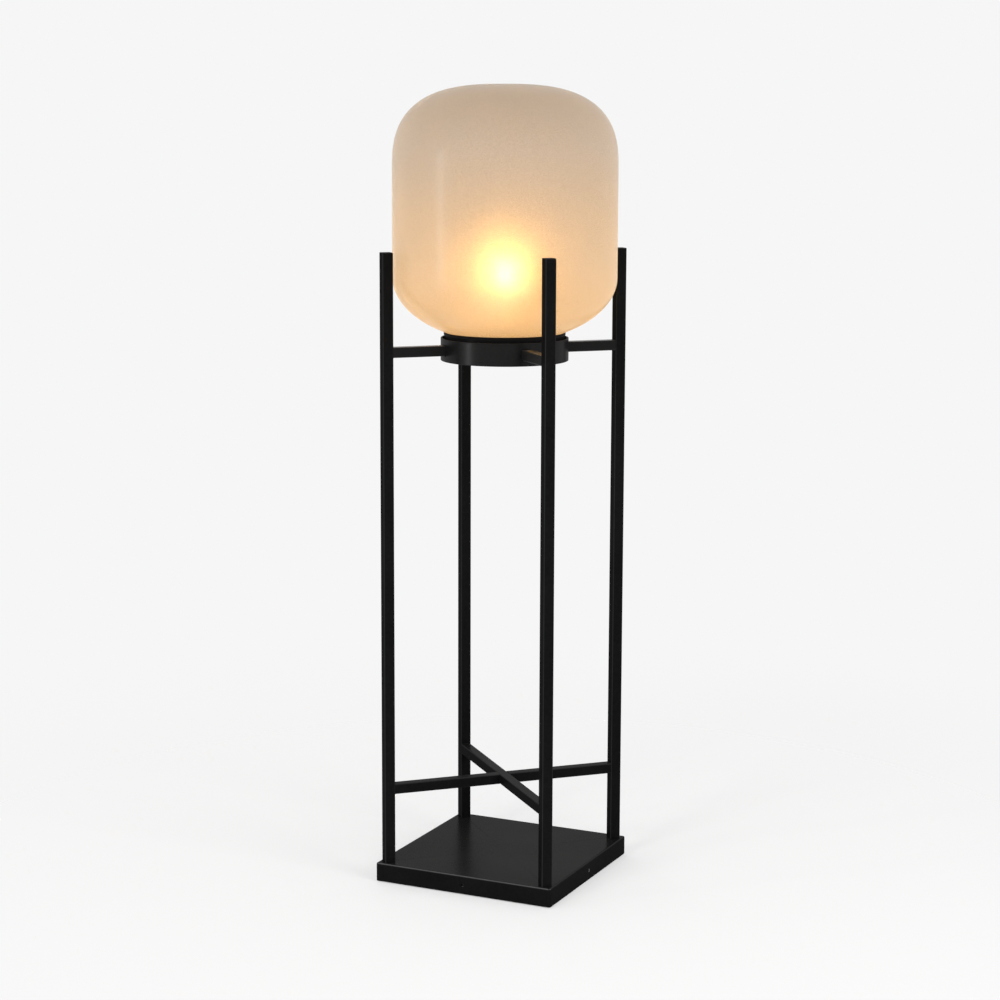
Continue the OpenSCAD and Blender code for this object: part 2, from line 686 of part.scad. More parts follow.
module terminal_block() color("#e6e2d8") translate([block_c.x, block_c.y, plate_top]) difference() {
    translate([-block_size.x / 2, -block_size.y / 2, 0]) cube(block_size);
    translate([0, 0, -1]) cylinder(d = small_screw_d + 2 * pass_gap, h = block_size.z + 2);
    for (x = [-1, 1], y = [-1, 1]) translate([x * block_hole.x, y * block_hole.y, block_size.z / 2])
        cylinder(d = small_screw_d + 2 * fit_gap, h = block_size.z);
}

module terminal_screws() color(ZINC) translate([block_c.x, block_c.y, plate_top]) {
    translate([0, 0, -plate_t + 2]) cylinder(d = small_screw_d, h = block_size.z + plate_t - 2);
    translate([0, 0, block_size.z]) cylinder(d = small_head_d, h = small_head_h);
    for (x = [-1, 1], y = [-1, 1]) translate([x * block_hole.x, y * block_hole.y, block_size.z / 2])
        cylinder(d = small_screw_d, h = block_size.z / 2 - 0.5);
}

module lead_bush(flange_x, barrel_x, barrel_l) difference() {
    union() {
        x_cylinder(lead_bush_d, barrel_x, barrel_l);
        x_cylinder(bush_flange_d, flange_x, bush_flange_t);
    }
    x_cylinder(lead_bush_bore, barrel_x - 2, barrel_l + 4);
}

module lead_bushes() color(PLASTIC) rotate(BACK_LEFT) translate([0, 0, arm_z]) {
    lead_bush(ring_d / 2, ring_in - 1, ring_wall + 1 + eps);
    lead_bush(post_inner_r - bush_flange_t, post_inner_r - eps, tube_wall);
}

function unit(v) = v / norm(v);
function rotate_to(v, from, to) = let(axis = cross(from, to), s = norm(axis), c = from * to)
    s < 1e-9 ? v : v * c + cross(axis, v) + axis * (axis * v) * (1 - c) / (s * s);
function directions(p) = [for (i = [0:len(p) - 2]) unit(p[i + 1] - p[i])];
// One vector across the route for each of its straight runs, carried along without twist.
function carried(d, i) = i == 0 ? unit(cross(d[0], [0, 0, 1])) : rotate_to(carried(d, i - 1), d[i - 1], d[i]);

// A round tube along points: each ring lies in the plane that halves its bend.
module swept_tube(p, d, sides) {
    dirs = directions(p);
    last = len(p) - 1;
    rings = [for (i = [0:last]) let(
        run = min(i, last - 1),
        across = carried(dirs, run),
        up = cross(dirs[run], across),
        plane = i == 0 || i == last ? dirs[run] : unit(dirs[i - 1] + dirs[i])
    ) [for (k = [0:sides - 1]) let(
        a = 360 * k / sides,
        v = (across * cos(a) + up * sin(a)) * d / 2
    ) p[i] + v - dirs[run] * (v * plane) / (dirs[run] * plane)]];
    points = [for (ring = rings) each ring];
    walls = [for (i = [0:last - 1], k = [0:sides - 1]) let(
        a = i * sides + k,
        b = i * sides + (k + 1) % sides
    ) each [[b, a, b + sides], [b + sides, a, a + sides]]];
    top = last * sides;
    ends = [for (k = [1:sides - 2]) each [[0, k, k + 1], [top, top + k + 1, top + k]]];
    polyhedron(points = points, faces = concat(walls, ends));
}

module inner_lead() color("#d0d0d0") swept_tube(lead_points, lead_d, lead_sides);

// ---- parts ---------------------------------------------------------------

base_cover();
base_plate();
cover_brackets();
cover_screws();
floor_pads();
post_spacers();
post_bolts();
bolt_washers();
post_inserts();
post_front_left();
post_front_right();
post_back_right();
post_back_left();
post_caps();
cross_bar();
cross_half_front_left();
cross_half_back_right();
arm_front_left();
arm_front_right();
arm_back_right();
arm_back_left();
holder_ring();
ring_strap();
ring_lugs();
ring_cover();
ring_cover_screws();
glass_cup();
rim_gasket();
glass_shade();
nipple();
nipple_washer();
nipple_nut();
holder_cap();
holder_skirt();
holder_core();
holder_shell();
holder_contact();
bulb_globe();
bulb_cap();
bulb_insulator();
bulb_tip();
bulb_stem();
bulb_filaments();
cord_bush();
terminal_block();
terminal_screws();
lead_bushes();
inner_lead();
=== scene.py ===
"""Lantern floor lamp: the looks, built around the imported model.

The sizes in the classes are millimetres, and each mesh is put into Blender in metres. +Z is up, the
origin is on the floor under the middle of the base, and the viewer stands on the -Y side. The posts
stand on the diagonals of the base, so many shapes are made along +X and turned by a post's angle.
"""

from __future__ import annotations

import json
import logging
import math
from dataclasses import dataclass
from enum import Enum

import bmesh
import bpy
import numpy as np
from mathutils import Matrix, Vector

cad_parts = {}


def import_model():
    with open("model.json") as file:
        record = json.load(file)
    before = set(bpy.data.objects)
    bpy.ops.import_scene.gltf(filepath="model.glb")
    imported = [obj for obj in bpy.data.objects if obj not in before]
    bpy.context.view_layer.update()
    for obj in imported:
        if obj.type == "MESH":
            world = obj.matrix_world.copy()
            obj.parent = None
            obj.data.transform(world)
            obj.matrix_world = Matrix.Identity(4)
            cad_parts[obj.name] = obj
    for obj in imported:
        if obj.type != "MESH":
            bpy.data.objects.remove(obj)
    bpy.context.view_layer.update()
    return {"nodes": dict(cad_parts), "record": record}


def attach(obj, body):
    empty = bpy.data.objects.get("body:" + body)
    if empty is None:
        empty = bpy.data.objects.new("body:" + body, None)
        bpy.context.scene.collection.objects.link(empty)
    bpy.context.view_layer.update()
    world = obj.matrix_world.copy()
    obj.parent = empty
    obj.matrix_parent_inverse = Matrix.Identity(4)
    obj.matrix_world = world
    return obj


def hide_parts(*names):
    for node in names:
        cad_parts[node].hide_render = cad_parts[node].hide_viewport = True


LOG = logging.getLogger("lantern")
MM = 0.001
EDGE_MASK = "edge_mask"
Colour = tuple[float, float, float]
Socket = bpy.types.NodeSocket
Sockets = bpy.types.bpy_prop_collection


class Corner(Enum):
    """The posts, by the direction in degrees from the lamp's axis to each."""

    BACK_RIGHT = 45.0
    BACK_LEFT = 135.0
    FRONT_LEFT = 225.0
    FRONT_RIGHT = 315.0


class Side(Enum):
    """The base's four sides, by the direction in degrees that each faces."""

    RIGHT = 0.0
    BACK = 90.0
    LEFT = 180.0
    FRONT = 270.0


# ---- shapes -----------------------------------------------------------------


def joined(*axes: np.ndarray | float) -> np.ndarray:
    """Coordinates, which are spread to one common shape, joined into points."""
    return np.stack(np.broadcast_arrays(*axes), axis=-1)


def turned(points: np.ndarray, degrees: float) -> np.ndarray:
    """Points turned about the lamp's axis: x' = x cos a - y sin a, y' = x sin a + y cos a.

    Args:
        points: An array whose last axis is x, y, z.
        degrees: The angle a, counterclockwise seen from above.

    Returns:
        A new array of the same shape.
    """
    c, s = math.cos(math.radians(degrees)), math.sin(math.radians(degrees))
    return points @ np.array([[c, s, 0], [-s, c, 0], [0, 0, 1]])


def around(steps: int) -> np.ndarray:
    """Angles spread evenly over one full turn."""
    return np.linspace(0, 2 * np.pi, steps, endpoint=False)


def round_corners(
    corners: list[tuple[float, float]], radii: float | list[float], steps: int = 4, support: float = 0.2
) -> np.ndarray:
    """A closed outline with each corner replaced by the circular arc that touches both its sides.

    For a corner P that turns by an angle t, the arc runs from A to C, the points of the two sides at
    r tan(t / 2) from P. With w = cos(t / 2), it is the rational curve
    ((1-s)^2 A + 2 s (1-s) w P + s^2 C) / ((1-s)^2 + 2 s (1-s) w + s^2). One more point lies on each
    side just outside the arc, so that the flat faces there stay flat in smooth shading.

    Args:
        corners: The corners in order.
        radii: The radius at every corner, or one for each.
        steps: The number of pieces of an arc.
        support: The distance of the extra points from the arc's ends.

    Returns:
        The outline as an array of points.
    """
    p = np.array(corners, float)
    back, ahead = np.roll(p, 1, 0) - p, np.roll(p, -1, 0) - p
    back_l, ahead_l = np.linalg.norm(back, axis=1), np.linalg.norm(ahead, axis=1)
    back, ahead = back / back_l[:, None], ahead / ahead_l[:, None]
    turn = np.pi - np.arccos(np.clip((back * ahead).sum(1), -1, 1))
    reach = np.minimum(np.array(radii) * np.tan(turn / 2), 0.45 * np.minimum(back_l, ahead_l))
    a, c = p + back * reach[:, None], p + ahead * reach[:, None]
    s = np.linspace(0, 1, steps + 1)[None, :, None]
    w = np.cos(turn / 2)[:, None, None]
    low, mid, high = (1 - s) ** 2, 2 * s * (1 - s) * w, s**2
    arcs = (low * a[:, None] + mid * p[:, None] + high * c[:, None]) / (low + mid + high)
    before = a + back * np.minimum(support, 0.04 * back_l)[:, None]
    after = c + ahead * np.minimum(support, 0.04 * ahead_l)[:, None]
    return np.concatenate([before[:, None], arcs, after[:, None]], axis=1).reshape(-1, 2)


def revolved(profile: np.ndarray, steps: int) -> np.ndarray:
    """A profile of (r, z) turned about the lamp's axis: x = r cos a, y = r sin a, z = z.

    Args:
        profile: The points (r, z).
        steps: The number of positions round the axis.

    Returns:
        A grid of points: one row for each profile point, one column for each angle.
    """
    a = around(steps)
    r, z = profile[:, 0][:, None], profile[:, 1][:, None]
    return joined(r * np.cos(a), r * np.sin(a), z)


def tube_along(path: np.ndarray, radius: float, sides: int) -> np.ndarray:
    """A round tube along a path: each ring is p + r (cos a * across + sin a * up).

    The direction at a point is the difference of its neighbours. across is the part of one fixed
    vector that is square to it, and up is their cross product.

    Args:
        path: The points of the middle line.
        radius: The tube's radius r.
        sides: The number of points of a ring.

    Returns:
        A grid of points with one row for each ring.
    """
    way = np.gradient(path, axis=0)
    way /= np.linalg.norm(way, axis=1)[:, None]
    fixed = np.array([0.6, 0.64, 0.48])
    across = fixed - way * (way @ fixed)[:, None]
    across /= np.linalg.norm(across, axis=1)[:, None]
    up = np.cross(way, across)
    a = around(sides)[None, :, None]
    return path[:, None] + radius * (np.cos(a) * across[:, None] + np.sin(a) * up[:, None])


def smoothed(path: np.ndarray, rounds: int = 3) -> np.ndarray:
    """A path with its corners cut: each side gives its points at a quarter and three quarters.

    Args:
        path: The points.
        rounds: How often the corners are cut.

    Returns:
        The smoother path, with the same two ends.
    """
    for _ in range(rounds):
        quarter, three = 0.75 * path[:-1] + 0.25 * path[1:], 0.25 * path[:-1] + 0.75 * path[1:]
        inner = np.stack([quarter, three], axis=1).reshape(-1, 3)
        path = np.concatenate([path[:1], inner[1:-1], path[-1:]])
    return path


class Shape:
    """A mesh that is put together from whole surfaces and then becomes one Blender object."""

    def __init__(self) -> None:
        """Starts with no points and no faces."""
        self.points: list[np.ndarray] = []
        self.edge: list[np.ndarray] = []
        self.faces: list[list[int]] = []
        self.count = 0

    def _add_points(self, points: np.ndarray, edge: np.ndarray | float) -> int:
        """Keeps a block of points, with the share of edge colour each takes, which is wear on most pieces and a
        painted highlight on the base's cover, and numbers its first.
        """
        first = self.count
        self.points.append(points.reshape(-1, 3))
        self.edge.append(np.broadcast_to(edge, points.shape[:-1]).reshape(-1))
        self.count += len(self.points[-1])
        return first

    def grid(self, points: np.ndarray, wrap_rows: bool = False, wrap_columns: bool = True,
             edge: np.ndarray | float = 0.0, skip: np.ndarray | None = None) -> Shape:
        """Adds a surface given as a grid of points; each cell of the grid is a face.

        Args:
            points: The grid, rows by columns by three.
            wrap_rows: Whether the last row joins the first.
            wrap_columns: Whether the last column joins the first.
            edge: How much each point takes the edge colour, from 0 to 1: wear on most pieces, a painted highlight on
                the base's cover.
            skip: Cells to leave open, as a grid of true and false.

        Returns:
            This shape.
        """
        rows, columns = points.shape[:2]
        first = self._add_points(points, edge)
        i = np.arange(rows if wrap_rows else rows - 1)[:, None]
        j = np.arange(columns if wrap_columns else columns - 1)[None, :]
        i2, j2 = (i + 1) % rows, (j + 1) % columns
        cells = joined(i * columns + j, i * columns + j2, i2 * columns + j2, i2 * columns + j)
        if skip is not None:
            cells = cells[~skip[: cells.shape[0], : cells.shape[1]]]
        self.faces += (cells.reshape(-1, 4) + first).tolist()
        return self

    def cap(self, loop: np.ndarray) -> Shape:
        """Closes a flat loop of points with one face and returns this shape."""
        first = self._add_points(loop, 0.0)
        self.faces.append(list(range(first, first + len(loop))))
        return self

    def solid(self, rows: np.ndarray, edge: np.ndarray | float = 0.0) -> Shape:
        """Adds a grid of rings with a flat face on its first and last ring, and returns this shape."""
        return self.grid(rows, edge=edge).cap(rows[0]).cap(rows[-1])

    def build(self, name: str, finish: Finish, body: str, replaces: tuple[str, ...] = (),
              sharp: float = 40.0) -> bpy.types.Object:
        """Makes the object: joins equal points, turns faces outwards, dresses it and sets it on its body.

        Args:
            name: The piece's name.
            finish: Its finish.
            body: The CAD body that it moves with.
            replaces: The CAD nodes that it stands for.
            sharp: The angle in degrees above which an edge shades sharp.

        Returns:
            The Blender object.
        """
        mesh = bpy.data.meshes.new(name)
        mesh.from_pydata((np.concatenate(self.points) * MM).tolist(), [], self.faces)
        mask = mesh.attributes.new(EDGE_MASK, "FLOAT", "POINT")
        mask.data.foreach_set("value", np.concatenate(self.edge).astype(np.float32))
        work = bmesh.new()
        work.from_mesh(mesh)
        bmesh.ops.remove_doubles(work, verts=work.verts, dist=2e-6)
        bmesh.ops.dissolve_degenerate(work, edges=work.edges, dist=1e-7)
        bmesh.ops.recalc_face_normals(work, faces=work.faces)
        work.to_mesh(mesh)
        work.free()
        mesh.shade_smooth()
        mesh.set_sharp_from_angle(angle=math.radians(sharp))
        piece = bpy.data.objects.new(name, mesh)
        bpy.context.scene.collection.objects.link(piece)
        mesh.materials.append(finish.material())
        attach(piece, body)
        if replaces:
            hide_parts(*replaces)
        LOG.info("%s: %d faces, %s", name, len(mesh.polygons), finish.slot)
        return piece


# ---- shader nodes -------------------------------------------------------------


class Graph:
    """A shader node tree with short calls for adding and joining nodes."""

    def __init__(self, tree: bpy.types.NodeTree) -> None:
        """Wraps a node tree."""
        self.tree = tree

    @classmethod
    def emptied(cls, owner: bpy.types.Material | bpy.types.World) -> Graph:
        """The node tree of a material or world, without the nodes that it starts with."""
        owner.use_nodes = True
        owner.node_tree.nodes.clear()
        return cls(owner.node_tree)

    def feed(self, node: bpy.types.Node, inputs: dict) -> bpy.types.Node:
        """Gives each named or numbered input a value, a colour or the socket that feeds it.

        Args:
            node: The node.
            inputs: What each input is given.

        Returns:
            The node.
        """
        for key, value in inputs.items():
            socket = node.inputs[key]
            if isinstance(value, Socket):
                self.tree.links.new(value, socket)
            else:
                socket.default_value = (*value, 1) if socket.type == "RGBA" else value
        return node

    def add(self, kind: str, inputs: dict | None = None, **settings) -> bpy.types.Node:
        """Adds a node.

        Args:
            kind: The node's type, for a shader node without the ShaderNode prefix.
            inputs: What each input is given.
            settings: The node's own properties.

        Returns:
            The node.
        """
        node = self.tree.nodes.new(kind if kind.startswith("NodeGroup") else "ShaderNode" + kind)
        for key, value in settings.items():
            setattr(node, key, value)
        return self.feed(node, inputs or {})

    def math(self, operation: str, result: float | Socket, *others: float | Socket, clamp: bool = False) -> Socket:
        """Applies an operation to the values from left to right; clamp holds the end in 0 to 1."""
        for number, value in enumerate(others, 1):
            result = self.add("Math", {0: result, 1: value}, operation=operation,
                              use_clamp=clamp and number == len(others)).outputs[0]
        return result

    def mix(self, factor: float | Socket, first: Colour | Socket, second: Colour | Socket,
            blend: str = "MIX") -> Socket:
        """Mixes two colours, with the factor as the second's share."""
        return self.add("Mix", {0: factor, 6: first, 7: second}, data_type="RGBA", blend_type=blend).outputs[2]

    def scaled(self, colour: Socket, gain: Socket) -> Socket:
        """A colour times a number."""
        return self.mix(1.0, colour, self.add("CombineColor", {0: gain, 1: gain, 2: gain}).outputs[0], "MULTIPLY")

    def noise(self, vector: Socket, scale: float | Socket, detail: float, roughness: float = 0.5) -> Socket:
        """A noise value at a place."""
        return self.add("TexNoise", {"Vector": vector, "Scale": scale, "Detail": detail,
                                     "Roughness": roughness}).outputs[0]

    def map_range(self, value: Socket, low: float, high: float, first: float, second: float) -> Socket:
        """A value's place between low and high, carried over to between first and second."""
        return self.add("MapRange", {0: value, 1: low, 2: high, 3: first, 4: second}).outputs[0]

    def z_of(self, vector: Socket) -> Socket:
        """A vector's upright part."""
        return self.add("SeparateXYZ", {0: vector}).outputs[2]

    def facing_up(self) -> Socket:
        """How much the face looks up, from -1 to 1."""
        return self.z_of(self.add("NewGeometry").outputs["Normal"])

    def bump(self, height: Socket, strength: float, distance: float) -> Socket:
        """The normal of a face that a height raises."""
        return self.add("Bump", {"Height": height, "Strength": strength, "Distance": distance}).outputs[0]

    def ramp(self, factor: Socket, stops: tuple[tuple[float, Colour], ...]) -> Socket:
        """A colour between stops: straight lines between many, one smooth change between two.

        Args:
            factor: The socket that drives it.
            stops: Positions and colours.

        Returns:
            The colour's socket.
        """
        node = self.add("ValToRGB", {0: factor})
        bar = node.color_ramp
        bar.interpolation = "LINEAR" if len(stops) > 2 else "EASE"
        for _ in range(len(stops) - 2):
            bar.elements.new(0.5)
        for element, (position, colour) in zip(bar.elements, stops):
            element.position, element.color = position, (*colour, 1)
        return node.outputs[0]

    def effect(self, effect: Effect, **inputs) -> Sockets:
        """Places a shared effect, whose group is built the first time, and returns its outputs."""
        tree = bpy.data.node_groups.get(effect.value) or build_group(effect)
        return self.feed(self.add("Group", node_tree=tree), inputs).outputs


class Effect(Enum):
    """The effects that several finishes share, each a node group that is built once."""

    GRAIN = "surface_grain"
    RUB = "edge_rub_and_highlight"
    DUST = "settled_dust"
    LINES = "drawn_lines"


def grain_nodes(graph: Graph, source: Sockets) -> dict[str, Socket]:
    """The grain: fine bumps of two sizes, and a slow change of colour and roughness."""
    fine = graph.noise(source["Vector"], source["Scale"], 2.0, 0.55)
    wide = graph.noise(source["Vector"], graph.math("MULTIPLY", source["Scale"], 0.31), 1.0)
    height = graph.math("ADD", graph.math("MULTIPLY", fine, 0.45), graph.math("MULTIPLY", wide, 0.55))
    signed = graph.math("SUBTRACT", height, 0.5)
    drift = graph.math("SUBTRACT", graph.noise(source["Vector"], 11.0, 3.0), 0.5)
    change = graph.math("ADD", graph.math("MULTIPLY", signed, source["Speckle"]),
                        graph.math("MULTIPLY", drift, source["Mottle"]))
    gain = graph.math("ADD", graph.math("MULTIPLY", change, 2.0), 1.0)
    shift = graph.math("MULTIPLY", graph.math("ADD", drift, signed), graph.math("MULTIPLY", source["Spread"], 2.0))
    return {"Colour": graph.scaled(source["Colour"], gain),
            "Roughness": graph.math("ADD", source["Roughness"], shift, clamp=True),
            "Height": height}


def rub_nodes(graph: Graph, source: Sockets) -> dict[str, Socket]:
    """The edge rub, which on the base's cover is a painted highlight: the colour turns lighter and smoother where the
    edge mask is high.
    """
    patches = graph.math("ADD", graph.math("MULTIPLY", graph.noise(source["Vector"], 60.0, 4.0), 0.8), 0.6)
    share = graph.math("MULTIPLY", source["Mask"], source["Amount"], patches, clamp=True)
    return {"Colour": graph.mix(share, source["Colour"], source["Rubbed"]),
            "Roughness": graph.math("SUBTRACT", source["Roughness"], graph.math("MULTIPLY", share, 0.12))}


def dust_nodes(graph: Graph, source: Sockets) -> dict[str, Socket]:
    """The dust: a pale veil, patchy, on faces that look up."""
    level = graph.math("POWER", graph.math("MAXIMUM", graph.facing_up(), 0.0), 3.0)
    specks = graph.noise(source["Vector"], 420.0, 1.0)
    patches = graph.math("ADD", graph.noise(source["Vector"], 18.0, 5.0), graph.math("MULTIPLY", specks, 0.5))
    thick = graph.math("MULTIPLY", level, source["Amount"], patches, clamp=True)
    return {"Colour": graph.mix(thick, source["Colour"], (0.42, 0.40, 0.37)),
            "Roughness": graph.math("ADD", source["Roughness"], graph.math("MULTIPLY", thick, 0.6), clamp=True)}


def line_nodes(graph: Graph, source: Sockets) -> dict[str, Socket]:
    """Drawn lines: noise that is stretched along one axis, as on drawn or turned metal."""
    drawn = graph.add("VectorMath", {0: source["Vector"], 1: source["Stretch"]}, operation="MULTIPLY").outputs[0]
    streaks = graph.noise(drawn, 1.0, 3.0, 0.6)
    blotch = graph.noise(source["Vector"], 70.0, 3.0)
    tone = graph.math("ADD", graph.math("MULTIPLY", graph.math("ADD", streaks, blotch), source["Depth"]), 0.9)
    return {"Colour": graph.scaled(source["Colour"], tone),
            "Roughness": graph.math("ADD", source["Roughness"], graph.math("MULTIPLY", blotch, 0.15)),
            "Height": streaks}


GROUPS = {
    Effect.GRAIN: (grain_nodes, ("Vector", "Colour", "Scale", "Speckle", "Mottle", "Roughness", "Spread")),
    Effect.RUB: (rub_nodes, ("Vector", "Colour", "Rubbed", "Mask", "Amount", "Roughness")),
    Effect.DUST: (dust_nodes, ("Vector", "Colour", "Amount", "Roughness")),
    Effect.LINES: (line_nodes, ("Vector", "Stretch", "Colour", "Roughness", "Depth")),
}
SOCKET_KINDS = {"Vector": "NodeSocketVector", "Stretch": "NodeSocketVector", "Colour": "NodeSocketColor",
                "Rubbed": "NodeSocketColor"}


def build_group(effect: Effect) -> bpy.types.NodeTree:
    """Builds an effect's node group, whose inputs and outputs are numbers if their names don't say more.

    Args:
        effect: The effect.

    Returns:
        The group's tree.
    """
    make, names = GROUPS[effect]
    tree = bpy.data.node_groups.new(effect.value, "ShaderNodeTree")

    def expose(given: tuple[str, ...] | dict, way: str) -> None:
        """Adds the named sockets to the group's inputs or outputs."""
        for name in given:
            tree.interface.new_socket(name=name, in_out=way, socket_type=SOCKET_KINDS.get(name, "NodeSocketFloat"))

    expose(names, "INPUT")
    graph = Graph(tree)
    results = make(graph, graph.add("NodeGroupInput").outputs)
    expose(results, "OUTPUT")
    graph.add("NodeGroupOutput", results)
    return tree


# ---- finishes -----------------------------------------------------------------


@dataclass(frozen=True)
class Finish:
    """What every finish has: the record's slot that it belongs to, and one Principled shader."""

    slot: str
    colour: Colour
    roughness: float

    def dress(self, graph: Graph, shader: bpy.types.Node, place: Socket) -> None:
        """Feeds the shader.

        Args:
            graph: The material's graph.
            shader: Its Principled shader.
            place: The Object coordinates.
        """
        raise NotImplementedError

    def material(self) -> bpy.types.Material:
        """Makes the material the first time it is asked for, and returns it."""
        name = f"{self.slot}_{type(self).__name__.lower()}"
        found = bpy.data.materials.get(name)
        if found:
            return found
        made = bpy.data.materials.new(name)
        made.diffuse_color = (*self.colour, 1)
        graph = Graph.emptied(made)
        shader = graph.add("BsdfPrincipled", {"Base Color": self.colour, "Roughness": self.roughness})
        graph.add("OutputMaterial", {"Surface": shader.outputs[0]})
        self.dress(graph, shader, graph.add("TexCoord").outputs["Object"])
        return made


@dataclass(frozen=True)
class Worn(Finish):
    """A plain surface with grain, edges that are rubbed lighter, and a trace of dust."""

    scale: float = 900.0
    depth: float = 0.12
    specular: float = 0.4
    dust: float = 0.02
    rubbed: Colour = (0.10, 0.10, 0.10)
    rub: float = 0.4
    speckle: float = 0.25
    mottle: float = 0.2
    spread: float = 0.05
    bump: float = 0.0003

    def dress(self, graph: Graph, shader: bpy.types.Node, place: Socket) -> None:
        """Joins grain, edge rub and dust, and gives the bump the grain's height."""
        grain = graph.effect(Effect.GRAIN, Vector=place, Colour=self.colour, Scale=self.scale, Speckle=self.speckle,
                             Mottle=self.mottle, Roughness=self.roughness, Spread=self.spread)
        mask = graph.add("Attribute", attribute_name=EDGE_MASK).outputs["Fac"]
        rub = graph.effect(Effect.RUB, Vector=place, Colour=grain["Colour"], Rubbed=self.rubbed, Mask=mask,
                           Amount=self.rub, Roughness=grain["Roughness"])
        dust = graph.effect(Effect.DUST, Vector=place, Colour=rub["Colour"], Amount=self.dust,
                            Roughness=rub["Roughness"])
        graph.feed(shader, {"Base Color": dust["Colour"], "Roughness": dust["Roughness"],
                            "Normal": graph.bump(grain["Height"], self.depth, self.bump),
                            "Specular IOR Level": self.specular})


@dataclass(frozen=True)
class Moulded(Worn):
    """Moulded plastic, rubber or glazed ceramic."""


@dataclass(frozen=True)
class PowderCoat(Worn):
    """Satin black powder coat: fine orange peel, slow mottling, thin edges, a trace of dust.

    The sheen is the coat's alone. Faces that look up, which are wiped most, shine more.
    """

    slot: str = "powder_coated_steel"
    colour: Colour = (0.0068, 0.0068, 0.0069)
    roughness: float = 0.66
    scale: float = 620.0
    depth: float = 0.16
    specular: float = 0.0
    dust: float = 0.012
    rubbed: Colour = (0.030, 0.030, 0.031)
    rub: float = 0.55
    speckle: float = 0.5
    mottle: float = 0.35
    spread: float = 0.06
    bump: float = 0.0004
    coat: float = 0.03
    top_coat: float = 0.15
    coat_roughness: float = 0.26

    def dress(self, graph: Graph, shader: bpy.types.Node, place: Socket) -> None:
        """Adds the coat to the worn surface, stronger on faces that look up."""
        super().dress(graph, shader, place)
        weight = graph.map_range(graph.facing_up(), 0.6, 0.95, self.coat, self.top_coat)
        graph.feed(shader, {"Coat Weight": weight, "Coat Roughness": self.coat_roughness})


@dataclass(frozen=True)
class WipedCoat(PowderCoat):
    """The powder coat of the arms, which shines more, and most on their upper faces."""

    specular: float = 0.12
    top_coat: float = 1.0
    coat_roughness: float = 0.40


@dataclass(frozen=True)
class FoldHighlightCoat(PowderCoat):
    """The powder coat of the base's cover, with a painted highlight: a bright line along its fold, strongest on the
    front, and a bright crescent at one side of each hole.
    """

    # The colour of the painted highlight on the fold and in the holes.
    rubbed: Colour = (0.40, 0.40, 0.40)


@dataclass(frozen=True)
class BandCoat(PowderCoat):
    """The powder coat of the ring, with a little more sheen all round, and a slightly lighter colour that is painted
    light: a lit copy of the same black coat.
    """

    # Painted light: a little lighter than the other powder coat, so the ring reads brighter.
    colour: Colour = (0.0075, 0.0075, 0.0075)
    coat: float = 0.26
    coat_roughness: float = 0.28


@dataclass(frozen=True)
class Metal(Finish):
    """Bare, plated or blackened metal with drawn lines."""

    stretch: tuple[float, float, float] = (120.0, 120.0, 2200.0)
    depth: float = 0.12

    def dress(self, graph: Graph, shader: bpy.types.Node, place: Socket) -> None:
        """Joins the drawn lines to colour, roughness and bump."""
        lines = graph.effect(Effect.LINES, Vector=place, Stretch=self.stretch, Colour=self.colour,
                             Roughness=self.roughness - 0.07, Depth=self.depth)
        graph.feed(shader, {"Base Color": lines["Colour"], "Roughness": lines["Roughness"], "Metallic": 1.0,
                            "Normal": graph.bump(lines["Height"], 0.12, 0.0003)})


@dataclass(frozen=True)
class FrostedGlass(Finish):
    """Acid-frosted glass, lit from inside.

    The frost is very rough with fine, clearer spots between, so a small bright source shows as a
    white core in a wide halo. The spots come from noise at the point that lies half the wall's
    thickness behind the face. The glow at a point grows with the light that falls on the wall
    there: warm and strong at the bulb's height and below, pale and weak under the dome. The hot
    spot itself is the bulb, seen through the wall. Heights are in metres.
    """

    slot: str = "frosted_glass"
    colour: Colour = (0.50, 0.43, 0.36)
    roughness: float = 0.88
    clear_roughness: float = 0.22
    clear_below: float = 0.485
    clear_blend: float = 0.03
    spot_scale: float = 3200.0
    half_wall: float = 0.0015
    transmission: float = 0.70
    ior: float = 1.38
    glow: float = 0.40
    low: float = 0.860
    high: float = 1.240
    glow_by_height: tuple[tuple[float, Colour], ...] = (
        (0.0, (0.80, 0.47, 0.17)), (0.10, (0.77, 0.47, 0.18)), (0.27, (0.68, 0.45, 0.22)),
        (0.50, (0.55, 0.385, 0.215)), (0.75, (0.41, 0.33, 0.245)), (1.0, (0.24, 0.18, 0.115)))

    def dress(self, graph: Graph, shader: bpy.types.Node, place: Socket) -> None:
        """Joins frost grain, the clearer spots, the glow by height, and the shader's glass values."""
        grain = graph.effect(Effect.GRAIN, Vector=place, Colour=self.colour, Scale=1500.0, Speckle=0.06,
                             Mottle=0.05, Roughness=self.roughness, Spread=0.03)
        normal = graph.add("NewGeometry").outputs["Normal"]
        behind = graph.add("VectorMath", {0: normal, 1: (-self.half_wall,) * 3, 2: place},
                           operation="MULTIPLY_ADD").outputs[0]
        frost = graph.map_range(graph.noise(behind, self.spot_scale, 0.0), self.clear_below - self.clear_blend,
                                self.clear_below + self.clear_blend, self.clear_roughness, self.roughness)
        above = graph.math("SUBTRACT", graph.z_of(place), self.low)
        level = graph.math("DIVIDE", above, self.high - self.low, clamp=True)
        graph.feed(shader, {
            "Base Color": grain["Colour"], "Roughness": frost, "Normal": graph.bump(grain["Height"], 0.10, 0.0002),
            "Emission Color": graph.ramp(level, self.glow_by_height), "Emission Strength": self.glow,
            "Transmission Weight": self.transmission, "IOR": self.ior})


